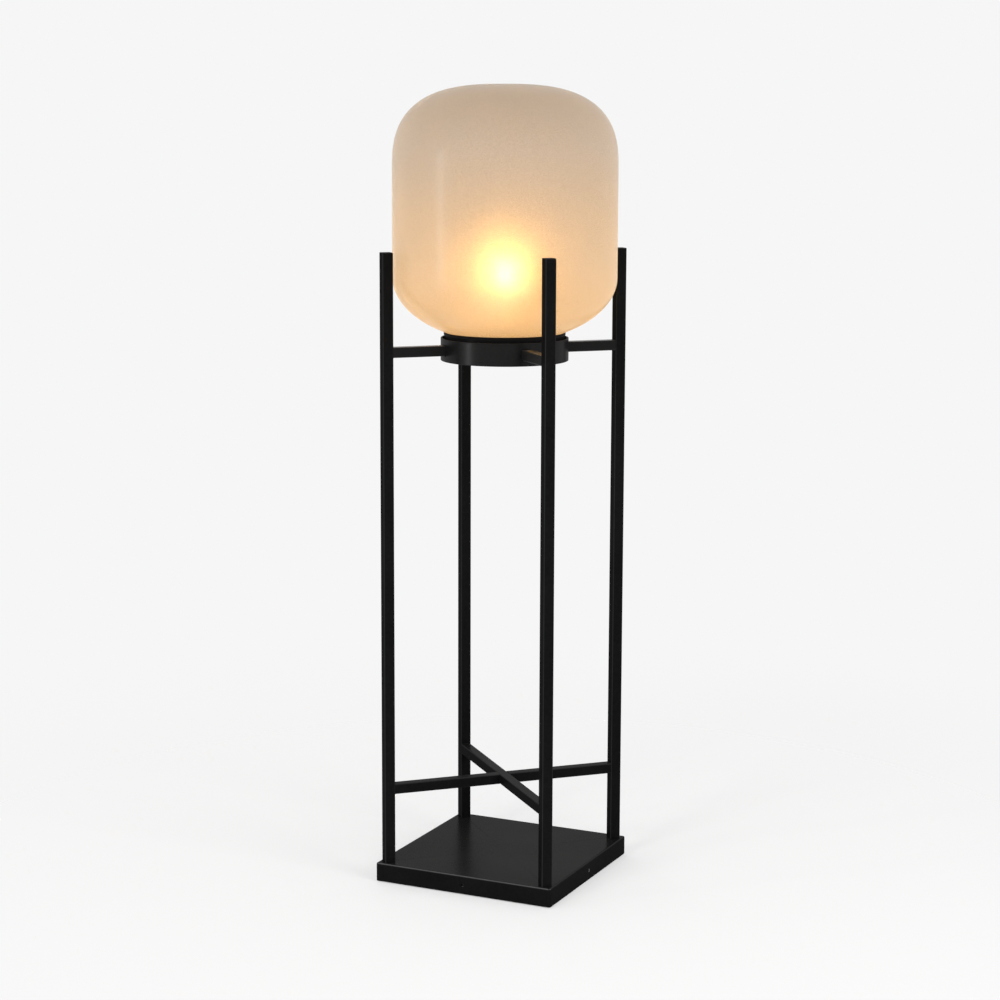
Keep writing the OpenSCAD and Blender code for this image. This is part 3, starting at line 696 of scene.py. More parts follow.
@dataclass(frozen=True)
class LitGlass(Finish):
    """Clear glass with faint draw marks that may give light itself.

    The light comes up from nothing between two heights, which are given in metres.
    """

    transmission: float = 1.0
    strength: float = 0.0
    light: Colour = (1.0, 0.8, 0.5)
    dark_below: float = 0.0
    full_above: float = 0.001

    def dress(self, graph: Graph, shader: bpy.types.Node, place: Socket) -> None:
        """Joins a faint waviness, and the light's colour by height and its strength."""
        grain = graph.effect(Effect.GRAIN, Vector=place, Colour=self.colour, Scale=90.0, Speckle=0.02,
                             Mottle=0.02, Roughness=self.roughness, Spread=0.02)
        share = graph.map_range(graph.z_of(place), self.dark_below, self.full_above, 0.0, 1.0)
        graph.feed(shader, {
            "Base Color": grain["Colour"], "Roughness": grain["Roughness"],
            "Normal": graph.bump(grain["Height"], 0.03, 0.0005), "Transmission Weight": self.transmission,
            "Emission Color": graph.mix(share, (0.0, 0.0, 0.0), self.light), "Emission Strength": self.strength})


BLACK_STEEL = PowderCoat()
WIPED_STEEL = WipedCoat()
BAND_STEEL = BandCoat()
FOLD_HIGHLIGHT_STEEL = FoldHighlightCoat()
FROSTED = FrostedGlass()
ZINC = Metal("zinc_plated_steel", (0.52, 0.52, 0.54), 0.34)
NICKEL = Metal("bulb_metal", (0.72, 0.71, 0.68), 0.26, (400.0, 400.0, 400.0), 0.08)
BRASS = Metal("brass", (0.68, 0.50, 0.22), 0.30)
RUBBER = Moulded("black_rubber", (0.018, 0.018, 0.018), 0.78, 700.0, 0.3, 0.3, 0.04)
BLACK_OXIDE = Metal("black_oxide_steel", (0.018, 0.018, 0.018), 0.45)
SILICONE = Moulded("black_silicone", (0.007, 0.007, 0.007), 0.65, 900.0, 0.1, 0.05, 0.0, (0.02, 0.02, 0.02))
PLASTIC = Moulded("black_plastic", (0.026, 0.026, 0.026), 0.42)
CERAMIC = Moulded("white_insulator", (0.78, 0.76, 0.70), 0.22, 300.0, 0.05, 0.5, 0.02, (0.86, 0.84, 0.80))
VITRITE = Moulded("bulb_insulator", (0.02, 0.02, 0.025), 0.15, 300.0, 0.05, 0.5)
SHEATH = Moulded("lead_sheath", (0.60, 0.60, 0.60), 0.45, 1200.0, 0.06, 0.4, 0.0, (0.66, 0.66, 0.66))
BULB_GLASS = LitGlass("bulb_glass", (1.0, 0.96, 0.88), 0.08, 0.92, 11.2, (1.0, 0.56, 0.05), 0.922, 0.968)
STEM_GLASS = LitGlass("clear_glass", (0.90, 0.93, 0.93), 0.05)
FILAMENT = LitGlass("glowing_filament", (1.0, 0.72, 0.30), 0.4, 0.0, 480.0, (0.80, 0.88, 1.0))
CARRIED = {finish.slot: finish for finish in (
    BLACK_STEEL, BLACK_OXIDE, FROSTED, ZINC, NICKEL, BRASS, RUBBER, SILICONE, PLASTIC, CERAMIC, VITRITE, SHEATH,
    BULB_GLASS, STEM_GLASS, FILAMENT)}


# ---- camera and studio ----------------------------------------------------------


@dataclass
class PhotoCamera:
    """The camera that took the photograph, solved from the lamp's corners."""

    lens: float = 87.75
    azimuth: float = 25.24
    elevation: float = 9.61
    roll: float = 0.19
    distance: float = 3815.4
    target: tuple[float, float, float] = (-7.05, 0.0, 597.65)

    def build(self) -> None:
        """Sets the camera: it stands at target + distance * back, and looks along -back."""
        az, el, roll = (math.radians(v) for v in (self.azimuth, self.elevation, self.roll))
        back = Vector((math.sin(az) * math.cos(el), -math.cos(az) * math.cos(el), math.sin(el)))
        right = Vector((0, 0, 1)).cross(back).normalized()
        up = back.cross(right)
        across = math.cos(roll) * right + math.sin(roll) * up
        upward = -math.sin(roll) * right + math.cos(roll) * up
        data = bpy.data.cameras.new("photo_camera")
        data.lens, data.sensor_width, data.sensor_fit = self.lens, 36.0, "HORIZONTAL"
        data.clip_start, data.clip_end = 0.05, 60.0
        camera = bpy.data.objects.new("photo_camera", data)
        place = (Vector(self.target) + self.distance * back) * MM
        camera.matrix_world = Matrix.Translation(place) @ Matrix((across, upward, back)).transposed().to_4x4()
        bpy.context.scene.collection.objects.link(camera)
        bpy.context.scene.camera = camera
        LOG.info("camera at %s", tuple(round(v, 3) for v in place))


@dataclass
class Studio:
    """A pale floor that fades into a pale background, a key, a strip light and two weak fills.

    The sizes are metres. Only the strip light shows in glossy faces.
    """

    background: float = 0.921
    ambient: float = 0.62
    floor_half: float = 4.0
    floor_z: float = -0.0002
    floor_colour: Colour = (0.955, 0.955, 0.955)
    aim: tuple[float, float, float] = (0.0, 0.0, 0.55)

    def build(self) -> None:
        """Builds world, floor and lights."""
        self._world()
        self._floor()
        self._light("key", (-0.5, -3.4, 2.7), 1.1, 42.0)
        self._light("side_left", (-2.6, -2.9, 0.9), 0.25, 24.0, 1.8, mirrored=True)
        self._light("fill_right", (2.7, -0.9, 1.6), 1.4, 36.0)
        self._light("rim_left", (-1.6, 1.8, 2.0), 1.2, 9.0)

    def _world(self) -> None:
        """The world: pale to the camera, to reflections and through glass, weaker as light."""
        world = bpy.data.worlds.new("studio")
        bpy.context.scene.world = world
        graph = Graph.emptied(world)
        path = graph.add("LightPath").outputs
        seen = graph.math("MAXIMUM", path["Is Camera Ray"], path["Is Transmission Ray"], path["Is Glossy Ray"])
        level = graph.math("ADD", graph.math("MULTIPLY", seen, self.background - self.ambient), self.ambient)
        pale = graph.add("Background", {"Color": (1, 1, 1), "Strength": level}).outputs[0]
        graph.add("OutputWorld", {"Surface": pale})

    def _floor(self) -> None:
        """The floor: a plain pale plane that turns transparent away from the lamp and from below."""
        half = self.floor_half
        mesh = bpy.data.meshes.new("floor")
        corners = [(x * half, y * half, self.floor_z) for x, y in ((-1, -1), (1, -1), (1, 1), (-1, 1))]
        mesh.from_pydata(corners, [], [(0, 1, 2, 3)])
        floor = bpy.data.objects.new("floor", mesh)
        bpy.context.scene.collection.objects.link(floor)
        made = bpy.data.materials.new("floor")
        graph = Graph.emptied(made)
        place = graph.add("TexCoord").outputs["Object"]
        away = graph.add("VectorMath", {0: place}, operation="LENGTH").outputs["Value"]
        fade = graph.ramp(graph.math("DIVIDE", away, half), ((0.06, (0.5, 0.5, 0.5)), (0.42, (1, 1, 1))))
        open_part = graph.math("MAXIMUM", fade, graph.add("NewGeometry").outputs["Backfacing"])
        plain = graph.add("BsdfDiffuse", {"Color": self.floor_colour}).outputs[0]
        clear = graph.add("BsdfTransparent").outputs[0]
        mixed = graph.add("MixShader", {0: open_part, 1: plain, 2: clear}).outputs[0]
        graph.add("OutputMaterial", {"Surface": mixed})
        mesh.materials.append(made)

    def _light(self, name: str, place: tuple[float, float, float], size: float, power: float,
               height: float | None = None, mirrored: bool = False) -> None:
        """Adds an area light that faces the lamp.

        Args:
            name: Its name.
            place: Where it stands.
            size: Its width.
            power: Its power in watts.
            height: Its height, or None for a square.
            mirrored: Whether glossy faces show it.
        """
        data = bpy.data.lights.new(name, "AREA")
        data.shape = "RECTANGLE"
        data.size, data.size_y, data.energy = size, height or size, power
        lamp = bpy.data.objects.new(name, data)
        lamp.location = place
        lamp.visible_glossy = lamp.visible_transmission = mirrored
        lamp.rotation_euler = (Vector(self.aim) - Vector(place)).to_track_quat("-Z", "Y").to_euler()
        bpy.context.scene.collection.objects.link(lamp)


# ---- the lamp ---------------------------------------------------------------------


def upright(x: float, outline: np.ndarray, u: float, z: float) -> np.ndarray:
    """A flat outline stood up square to +X, at x, with its origin at the place u and the height z."""
    return joined(x, outline[:, 0] + u, outline[:, 1] + z)


def revolve_piece(name: str, node: str, finish: Finish, body: str, profile: np.ndarray, steps: int, sharp: float,
                  edge: np.ndarray | float = 0.0) -> None:
    """Builds a piece that replaces a node, from a closed profile turned about the lamp's axis.

    Args:
        name: The piece's name.
        node: The CAD node that it replaces.
        finish: Its finish.
        body: The CAD body that it moves with.
        profile: The profile of (r, z).
        steps: The number of positions round the axis.
        sharp: The angle in degrees above which an edge shades sharp.
        edge: How much each point of the profile lies on a worn edge.
    """
    rows = revolved(profile, steps)
    worn = np.broadcast_to(edge, len(profile))[:, None]
    Shape().grid(rows, wrap_rows=True, edge=worn).build(name, finish, body, (node,), sharp)


@dataclass
class Base:
    """The folded cover with its recessed set screws, the rubber pads and the cord's bush."""

    width: float = 300.0
    top: float = 31.0
    bottom: float = 1.5
    sheet: float = 2.0
    corner: float = 3.0
    fold: float = 2.5
    # How strong the painted highlight line along the top fold is: on the front side, where the key light falls, and
    # on the other sides.
    front_fold_highlight: float = 0.5
    other_fold_highlight: float = 0.1
    patch_half: float = 9.0
    patch_cells: int = 6
    screw_z: float = 16.25
    screw_hole: float = 3.3
    screw_r: float = 3.0
    screw_recess: float = 1.0
    screw_l: float = 10.0
    socket_flats: float = 3.0
    socket_depth: float = 2.3
    thread_depth: float = 0.30
    cord_x: float = -45.0
    cord_z: float = 18.0
    bush_r: float = 5.65
    bore_r: float = 3.2
    bush_l: float = 16.0
    pad_at: float = 112.0
    pad_r: float = 15.0
    pad_t: float = 2.0

    def build(self) -> None:
        """Builds the pieces of the base."""
        self._cover()
        self._screws()
        self._pads()
        self._bush()

    def _holes(self, side: Side) -> list[tuple[float, float, float]]:
        """A side's holes as place along the side, height and radius."""
        cord = [(-self.cord_x, self.cord_z, self.bush_r + 0.05)] if side is Side.BACK else []
        return [(0.0, self.screw_z, self.screw_hole)] + cord

    def _strip(self, u: np.ndarray, depth: np.ndarray, height: np.ndarray) -> np.ndarray:
        """The part of the cover's outline that belongs to the side facing +X, with the corners beside it.

        A row is the outline moved in by d at the height z. At each end it goes on round the corner, at
        60, 75 and 90 degrees of an arc of radius r, so neighbouring sides both draw a corner.

        Args:
            u: The places along the side.
            depth: The distance d of each row.
            height: The height z of each row.

        Returns:
            A grid of points.
        """
        bend = np.linspace(np.pi / 3, np.pi / 2, 3)
        d = depth[:, None]
        r = np.maximum(self.corner - d, 0.4)
        mid = self.width / 2 - d - r
        arc_x, arc_y = mid + r * np.cos(bend), mid + r * np.sin(bend)
        line = np.clip(u, -mid, mid)
        x = np.concatenate([arc_x[:, ::-1], np.broadcast_to(mid + r, line.shape), arc_x], axis=1)
        y = np.concatenate([-arc_y[:, ::-1], line, arc_y], axis=1)
        return joined(x, y, height[:, None])

    def _cover(self) -> None:
        """The cover: an outline carried down over the fold, with a square patch left open round each hole."""
        shape = Shape()
        n = self.patch_cells
        fine = np.linspace(-self.patch_half, self.patch_half, n + 1)
        flat = self.width / 2 - self.corner
        levels = np.linspace(self.top - self.fold - 0.3, self.bottom + 0.8, n + 1)
        arc = np.linspace(0, np.pi / 2, 6)
        fold_d, fold_z = self.fold * (1 - np.sin(arc)), self.top - self.fold * (1 - np.cos(arc))
        depth = np.concatenate([[self.fold + 0.4], fold_d, 0 * levels, [0.0, 0.15, 0.5]])
        height = np.concatenate([[self.top], fold_z, levels, [self.bottom + 0.5, self.bottom + 0.1, self.bottom]])
        inner_depth = np.concatenate([[self.sheet - 0.15, self.sheet], 0 * levels + self.sheet, [self.sheet + 0.5]])
        inner_height = np.concatenate([[self.bottom, self.bottom + 0.3], levels[::-1], [self.top - self.sheet]])
        # worn marks a thin line high on the fold's arc, which carries the painted highlight.
        worn = np.exp(-(((depth - 0.75) / 0.45) ** 2)) * (height > self.top - self.fold)
        first_row, first_inner = len(fold_d) + 1, 2
        for side in Side:
            marks = sorted({u for u, _, _ in self._holes(side)})
            u = np.concatenate([[-flat, -flat + 0.4]] + [m + fine for m in marks] + [[flat - 0.4, flat]])
            outer, inner = self._strip(u, depth, height), self._strip(u, inner_depth, inner_height)
            skip, inner_skip = np.zeros(outer.shape[:2], bool), np.zeros(inner.shape[:2], bool)
            for centre, centre_z, radius in self._holes(side):
                column = 5 + marks.index(centre) * (n + 1)
                skip[first_row:first_row + n, column:column + n] = True
                inner_skip[first_inner:first_inner + n, column:column + n] = True
                self._patch(shape, side, centre, centre_z, radius, fine, levels)
            # The painted highlight along the fold, strongest on the front side.
            fold_highlight = self.front_fold_highlight if side is Side.FRONT else self.other_fold_highlight
            shape.grid(turned(outer, side.value), wrap_columns=False, edge=(fold_highlight * worn)[:, None], skip=skip)
            shape.grid(turned(inner, side.value), wrap_columns=False, skip=inner_skip)
            for pair in ((outer[-1], inner[0]), (outer[0], outer[0] * [0, 0, 1]), (inner[-1], inner[-1] * [0, 0, 1])):
                shape.grid(turned(np.stack(pair), side.value), wrap_columns=False)
        shape.build("base_cover_shell", FOLD_HIGHLIGHT_STEEL, "frame", ("base_cover",))

    def _patch(self, shape: Shape, side: Side, centre: float, centre_z: float, radius: float, fine: np.ndarray,
               levels: np.ndarray) -> None:
        """Fills the square round one hole on both faces of the sheet, and lines the hole.

        A patch runs from the square's points to the circle r (cos a, sin a), where a is the direction
        of each point.

        Args:
            shape: The cover's shape.
            side: The side of the base.
            centre: The hole's place along the side.
            centre_z: Its height.
            radius: Its radius.
            fine: The square's places along the side, from the hole's middle.
            levels: The square's heights, from the top down.
        """
        u = np.concatenate([fine[:-1], 0 * levels[:-1] + fine[-1], fine[:0:-1], 0 * levels[:-1] + fine[0]])
        v = np.concatenate([0 * fine[:-1] + levels[0], levels[:-1], 0 * fine[:-1] + levels[-1], levels[:0:-1]])
        a = np.arctan2(v - centre_z, u)
        circle, square = joined(np.cos(a), np.sin(a)), joined(u, v - centre_z)
        near = 0.5 * square + 0.5 * circle * (radius + 1.2)
        rings = [(0, square, 0), (0, near, 0), (0, circle * (radius + 0.5), 0), (0.1, circle * (radius + 0.12), 0.2),
                 (0.4, circle * radius, 1), (self.sheet - 0.1, circle * radius, 1),
                 (self.sheet, circle * (radius + 0.2), 0), (self.sheet, square, 0)]
        grid = np.stack([upright(self.width / 2 - d, outline, centre, centre_z) for d, outline, _ in rings])
        # A painted highlight: a bright crescent on one side of each hole's edge and wall, where light would catch it.
        hole_highlight = np.array([rub for _, _, rub in rings])[:, None] * np.clip(1.6 * np.cos(a) - 0.5, 0, 1)
        shape.grid(turned(grid, side.value), edge=hole_highlight)

    def _screws(self) -> None:
        """Four set screws: a hexagon socket, a chamfered face and a threaded shank.

        The hexagon's radius in the direction a is (flats / 2) / cos(b), where b is the angle from a to
        the middle of the nearest flat. The thread is r - depth * (0.5 - 0.5 cos(2 pi x - a)).
        """
        a = around(48)
        b = (a + np.pi / 6) % (np.pi / 3) - np.pi / 6
        circle = joined(np.cos(a), np.sin(a))
        hexagon = circle * (self.socket_flats / 2 / np.cos(b))[:, None]
        shank = np.linspace(0.5, self.screw_l - 0.4, 60)
        thread = self.screw_r - self.thread_depth * (0.5 - 0.5 * np.cos(2 * np.pi * shank[:, None] - a))
        rings = [(self.socket_depth + 0.1, hexagon * 0.02), (self.socket_depth, hexagon), (0.15, hexagon),
                 (0.0, hexagon * 1.06), (0.0, circle * (self.screw_r - 0.5))]
        rings += [(d, circle * r[:, None]) for d, r in zip(shank, thread)]
        rings += [(self.screw_l, circle * (self.screw_r - 0.8)), (self.screw_l, circle * 0.02)]
        face = self.width / 2 - self.screw_recess
        grid = np.stack([upright(face - d, outline, 0.0, self.screw_z) for d, outline in rings])
        shape = Shape()
        for side in Side:
            shape.solid(turned(grid, side.value))
        shape.build("side_set_screws", BLACK_OXIDE, "frame", ("cover_screws",))

    def _pads(self) -> None:
        """Four pads: revolved, with three grooves in the face that stands on the floor."""
        grooves = [(middle + r, z) for middle in (4.0, 8.0, 11.6)
                   for r, z in ((-0.7, 0.0), (-0.4, 0.35), (0.4, 0.35), (0.7, 0.0))]
        pad = revolved(np.array([(0.0, 0.0)] + grooves + [
            (self.pad_r - 0.4, 0.0), (self.pad_r - 0.08, 0.12), (self.pad_r, 0.4), (self.pad_r, self.pad_t - 0.2),
            (self.pad_r - 0.2, self.pad_t), (0.0, self.pad_t)]), 64)
        shape = Shape()
        for corner in Corner:
            a = math.radians(corner.value)
            shape.grid(pad + np.array([math.cos(a), math.sin(a), 0]) * self.pad_at * math.sqrt(2))
        shape.build("rubber_pads", RUBBER, "frame", ("floor_pads",), 30.0)

    def _bush(self) -> None:
        """The cord's bush in the back: a flanged sleeve whose bore opens like a trumpet."""
        wall = self.width / 2
        inside = wall - self.sheet
        sleeve, flange = self.bush_r - 0.05, self.bush_r + 2.0
        ring = revolved(round_corners(
            [(self.bore_r, wall - self.bush_l), (sleeve, wall - self.bush_l), (sleeve, inside - 3.0),
             (flange, inside - 3.0), (flange, inside), (sleeve, inside), (sleeve, wall), (self.bore_r, wall)],
            [0.5, 0.4, 0.1, 0.4, 0.1, 0.1, 0.5, 1.6], 5), 48)
        placed = joined(self.cord_x + ring[..., 0], ring[..., 2], self.cord_z + ring[..., 1])
        Shape().grid(placed, wrap_rows=True).build("cord_entry_bush", PLASTIC, "frame", ("cord_bush",))


@dataclass
class Uprights:
    """The posts with their caps, the arms and cross bars of a slimmer tube, and their welds."""

    tube: float = 17.0
    bar: float = 16.0
    wall: float = 1.2
    edge: float = 1.5
    foot: float = 31.0
    head: float = 986.0
    cap: float = 2.0
    cap_plug: float = 8.0
    cap_round: float = 1.1
    post_r: float = 190.889
    cross_z: float = 149.5
    arm_z: float = 836.0
    ring_r: float = 99.0

    @property
    def inner(self) -> float:
        """The distance from the axis to the posts' inner faces."""
        return self.post_r - self.tube / 2

    def _outline(self, width: float, inset: float = 0.0) -> np.ndarray:
        """The outline of a square tube of this width, moved in by a distance."""
        x = (width - 2 * inset) / 2
        return round_corners([(x, x), (-x, x), (-x, -x), (x, -x)], max(self.edge - inset, 0.15), 5)

    def _edge_mask(self, width: float) -> np.ndarray:
        """One where a point of a tube's outline is on a rounded edge, zero on the flats."""
        return (np.abs(self._outline(width)) > width / 2 - self.edge).all(axis=1).astype(float)

    def _post_rows(self, levels: list[tuple[float, float]]) -> np.ndarray:
        """The post's outline, moved in by a distance, at a height, for each level."""
        return np.stack([joined(*(self._outline(self.tube, inset) + [self.post_r, 0]).T, z) for inset, z in levels])

    def _tube(self, node: str, rows: np.ndarray, width: float, corner: Corner, finish: Finish) -> None:
        """Turns a closed grid of tube outlines to a corner and builds the piece that replaces a node."""
        Shape().grid(turned(rows, corner.value), wrap_rows=True, edge=self._edge_mask(width)).build(
            node + "_tube", finish, "frame", (node,))

    def build(self) -> None:
        """Builds posts and arms, caps, the lower cross and welds.

        The cross is one bar right through, and two halves that stop at its sides.
        """
        for corner in Corner:
            self._post(corner)
            self._bar("arm_", corner, self.arm_z, None, WIPED_STEEL)
        self._caps()
        self._tube("cross_bar", self._beam(-self.inner, self.cross_z), self.bar, Corner.BACK_LEFT, BLACK_STEEL)
        for corner in (Corner.FRONT_LEFT, Corner.BACK_RIGHT):
            self._bar("cross_half_", corner, self.cross_z, self.bar / 2, BLACK_STEEL)
        self._welds()

    def _post(self, corner: Corner) -> None:
        """A post: the tube's outline carried up, with its inner face carried back down."""
        levels = [(0.25, self.foot), (0.0, self.foot + 0.3)]
        levels += [(0.0, z) for z in np.linspace(self.foot + 0.6, self.head - 0.2, 9)]
        levels += [(0.0, self.head), (self.wall, self.head), (self.wall, self.foot)]
        self._tube("post_" + corner.name.lower(), self._post_rows(levels), self.tube, corner, BLACK_STEEL)

    def _caps(self) -> None:
        """The caps: the outline drawn in along a quarter circle at the top edge, flat on top, a plug below."""
        top = self.head + self.cap
        levels = [(self.wall + 0.2, self.head - self.cap_plug), (self.wall + 0.2, self.head), (0.0, self.head),
                  (0.0, self.head + 0.2), (0.0, top - 1.3)]
        levels += [(self.cap_round * (1 - math.cos(t)), top - self.cap_round * (1 - math.sin(t)))
                   for t in np.linspace(0, np.pi / 2, 6)]
        levels += [(1.5, top)]
        rubbed = np.array([0, 0, 0, 0, 0, 0.5, 0.8, 1, 1, 0.8, 0.5, 0])[:, None]
        outside = np.array([z > self.head for _, z in levels])[:, None]
        mask = np.maximum(rubbed, self._edge_mask(self.tube) * outside)
        rows = self._post_rows(levels)
        shape = Shape()
        for corner in Corner:
            shape.solid(turned(rows, corner.value), edge=mask)
        shape.build("post_end_caps", BLACK_STEEL, "frame", ("post_caps",))

    def _beam(self, start: float | None, z: float) -> np.ndarray:
        """A bar's tube along x up to a post, with its inner wall, as a closed grid of outlines.

        Args:
            start: Where it starts on x, or None if it is coped to the ring, at x = sqrt(R^2 - y^2).
            z: Its middle's height.

        Returns:
            The grid of points.
        """
        loops = []
        for inset, count in ((0.0, 6), (self.wall, 2)):
            y, high = self._outline(self.bar, inset).T
            begin = np.sqrt(self.ring_r**2 - y**2) if start is None else start
            x = begin + np.linspace(0, 1, count)[:, None] * (self.inner - begin)
            loops.append(joined(x, y, high + z))
        return np.concatenate([loops[0], loops[1][::-1]])

    def _bar(self, kind: str, corner: Corner, z: float, start: float | None, finish: Finish) -> None:
        """Builds one bar to one corner, named by its kind and the corner."""
        self._tube(kind + corner.name.lower(), self._beam(start, z), self.bar, corner, finish)

    def _bead(self, shape: Shape, line: np.ndarray, out: np.ndarray, way: tuple[float, float, float],
              size: np.ndarray, degrees: float, closed: bool = False) -> None:
        """A weld bead along a line where a bar meets a wall.

        Across the line it is the curve (1-v)^2 (L + s out) + 2 v (1-v) (L + 0.35 s (out + way))
        + v^2 (L + s way), closed behind the line at L - 0.3 s (out + way).

        Args:
            shape: The welds' shape.
            line: The points L of the line.
            out: The direction away from the bar at each point, in the wall.
            way: The direction along the bar.
            size: The bead's reach s at each point.
            degrees: The angle by which the bead is turned into place.
            closed: Whether the line is closed.
        """
        s, way = size[:, None], np.array(way)
        v = np.linspace(0, 1, 6)[:, None, None]
        mid = line + 0.35 * s * (out + way)
        face = (1 - v) ** 2 * (line + s * out) + 2 * v * (1 - v) * mid + v**2 * (line + s * way)
        placed = turned(np.concatenate([face, (line - 0.3 * s * (out + way))[None]]), degrees)
        shape.grid(placed, wrap_rows=True, wrap_columns=closed)
        if not closed:
            shape.cap(placed[:, 0]).cap(placed[:, -1])

    def _welds(self) -> None:
        """The welds: round each arm on the ring, above and below each bar on the posts, in the cross's corners."""
        shape = Shape()
        outline = self._outline(self.bar)
        y, high = outline.T
        step = np.roll(outline, -1, 0) - np.roll(outline, 1, 0)
        normal = joined(step[:, 1], -step[:, 0])
        normal /= np.maximum(np.linalg.norm(normal, axis=1), 1e-9)[:, None]
        on_ring = joined(np.sqrt(self.ring_r**2 - y**2), y, high + self.arm_z)
        lean = joined(-y / self.ring_r * normal[:, 0], normal[:, 0], normal[:, 1])
        half = self.bar / 2
        run = np.linspace(-half + self.edge, half - self.edge, 15)
        for corner in Corner:
            ripple = 1 + 0.05 * np.sin(9 * around(len(outline)) + corner.value)
            self._bead(shape, on_ring, lean, (1.0, 0.0, 0.0), 1.1 * ripple, corner.value, closed=True)
            ripple = 1 + 0.05 * np.sin(run * 1.7 + corner.value)
            for z in (self.arm_z, self.cross_z):
                for up in (-1.0, 1.0):
                    self._bead(shape, joined(self.inner, run, z + up * half), np.array([0.0, 0.0, up]),
                               (-1.0, 0.0, 0.0), ripple, corner.value)
        for corner in (Corner.FRONT_LEFT, Corner.BACK_RIGHT):
            for side in (-1.0, 1.0):
                self._bead(shape, joined(half, side * half, run + self.cross_z), np.array([0.0, side, 0.0]),
                           (1.0, 0.0, 0.0), np.ones(len(run)), corner.value)
        shape.build("weld_beads", BLACK_STEEL, "frame")


@dataclass
class Holder:
    """The ring, its closing plate, the cup and the gasket that carry the glass."""

    ring_r: float = 99.0
    ring_wall: float = 3.0
    ring_low: float = 818.5
    ring_top: float = 853.5
    plate_up: float = 2.5
    plate_t: float = 1.5
    cup_r: float = 93.0
    cup_wall: float = 1.5
    cup_z: float = 846.0
    cup_rim: float = 860.5
    cup_bore: float = 5.3
    lip: float = 1.2
    gasket: float = 1.35

    def build(self) -> None:
        """Builds ring, plate, cup and gasket."""
        inner = self.ring_r - self.ring_wall
        self._turn("holder_ring_band", "holder_ring", BAND_STEEL, 0.8, round_corners(
            [(self.ring_r, self.ring_low), (self.ring_r, self.ring_top), (inner, self.ring_top),
             (inner, self.ring_low)], 0.8, 5))
        low, edge, middle = self.ring_low + self.plate_up, inner - 0.3, 0.001
        high = low + self.plate_t
        self._turn("ring_closing_plate", "ring_cover", BLACK_STEEL, 0.4, round_corners(
            [(middle, low), (edge, low), (edge, high), (middle, high)], [0.0005, 0.4, 0.3, 0.0005]))
        bore, floor, wall = self.cup_bore, self.cup_z + self.cup_wall, self.cup_r - self.cup_wall
        self._turn("spun_cup", "glass_cup", BLACK_STEEL, 0.7, round_corners(
            [(bore, self.cup_z), (self.cup_r, self.cup_z), (self.cup_r, self.cup_rim), (wall, self.cup_rim),
             (wall, floor), (bore, floor)], [0.3, 2.0, 0.6, 0.6, 0.9, 0.3], 5))
        low, out, into = self.cup_rim - 3.0, self.cup_r + self.lip, wall - self.lip
        top = self.cup_rim + self.gasket
        self._turn("rim_gasket_channel", "rim_gasket", SILICONE, 0.0, round_corners(
            [(into, low), (wall, low), (wall, self.cup_rim), (self.cup_r, self.cup_rim), (self.cup_r, low),
             (out, low), (out, top + 0.55), (self.cup_r - self.cup_wall / 2, top), (into, top - 0.85)],
            [0.5, 0.3, 0.2, 0.2, 0.3, 0.5, 0.8, 0.5, 0.8]))

    def _turn(self, name: str, node: str, finish: Finish, rub: float, profile: np.ndarray) -> None:
        """Revolves a closed profile into a piece that replaces a node.

        Args:
            name: The piece's name.
            node: The CAD node that it replaces.
            finish: Its finish.
            rub: How much its rounded edges are rubbed.
            profile: The closed profile of (r, z).
        """
        step = np.roll(profile, -1, 0) - np.roll(profile, 1, 0)
        slant = np.abs(step[:, 0] * step[:, 1]) / np.maximum((step**2).sum(1), 1e-12) * 2
        revolve_piece(name, node, finish, "frame", profile, 160, 40.0, rub * slant)


@dataclass
class Jar:
    """The frosted glass jar: a superellipse dome, a straight middle, an elliptical bowl and a neck."""

    radius: float = 173.189
    wall: float = 3.0
    dome_h: float = 130.0
    power: float = 2.75
    straight_h: float = 163.6
    bowl_h: float = 99.7
    neck_r: float = 89.5
    neck_l: float = 8.0
    seat_r: float = 92.25
    seat_z: float = 862.05

    def build(self) -> None:
        """Builds the jar as one closed wall: outer face up, inner face down, and a round lip at the neck."""
        outer, inner = self._face(0.0), self._face(self.wall)
        neck_z, half = outer[0, 1] - self.neck_l, self.wall / 2
        a = np.linspace(np.pi, 2 * np.pi, 9)
        lip = joined(self.neck_r - half + half * np.cos(a), neck_z + half + half * np.sin(a))
        side = np.linspace(neck_z + 2.0, outer[0, 1] - 1.0, 4)
        up, down = joined(self.neck_r, side), joined(self.neck_r - self.wall, side[::-1])
        profile = np.concatenate([up, outer[1:], inner[::-1][:-1], down, lip])
        revolve_piece("frosted_jar", "glass_shade", FROSTED, "glass", profile, 192, 60.0)

    def _face(self, t: float) -> np.ndarray:
        """One face of the wall from the neck to the apex, t inside the outer face.

        Below the belly z = belly - (bowl_h - t) sqrt(1 - (r/a)^2), and above the shoulder
        z = shoulder + (dome_h - t) (1 - (r/a)^p)^(1/p), where a is the face's largest radius.

        Args:
            t: The distance inside the outer face.

        Returns:
            The profile as points (r, z).
        """
        a = self.radius - t
        belly = self.seat_z + self.bowl_h * math.sqrt(1 - (self.seat_r / self.radius) ** 2)
        shoulder = belly + self.straight_h
        u = np.linspace(math.asin((self.neck_r - t) / a), np.pi / 2, 40)
        bowl = joined(a * np.sin(u), belly - (self.bowl_h - t) * np.cos(u))
        middle = joined(a, np.linspace(belly, shoulder, 8)[1:-1])
        v = np.linspace(0, np.pi / 2, 56)
        dome = joined(a * np.abs(np.cos(v)) ** (2 / self.power),
                      shoulder + (self.dome_h - t) * np.abs(np.sin(v)) ** (2 / self.power))
        dome[-1, 0] = 0.0
        return np.concatenate([bowl, middle, dome])


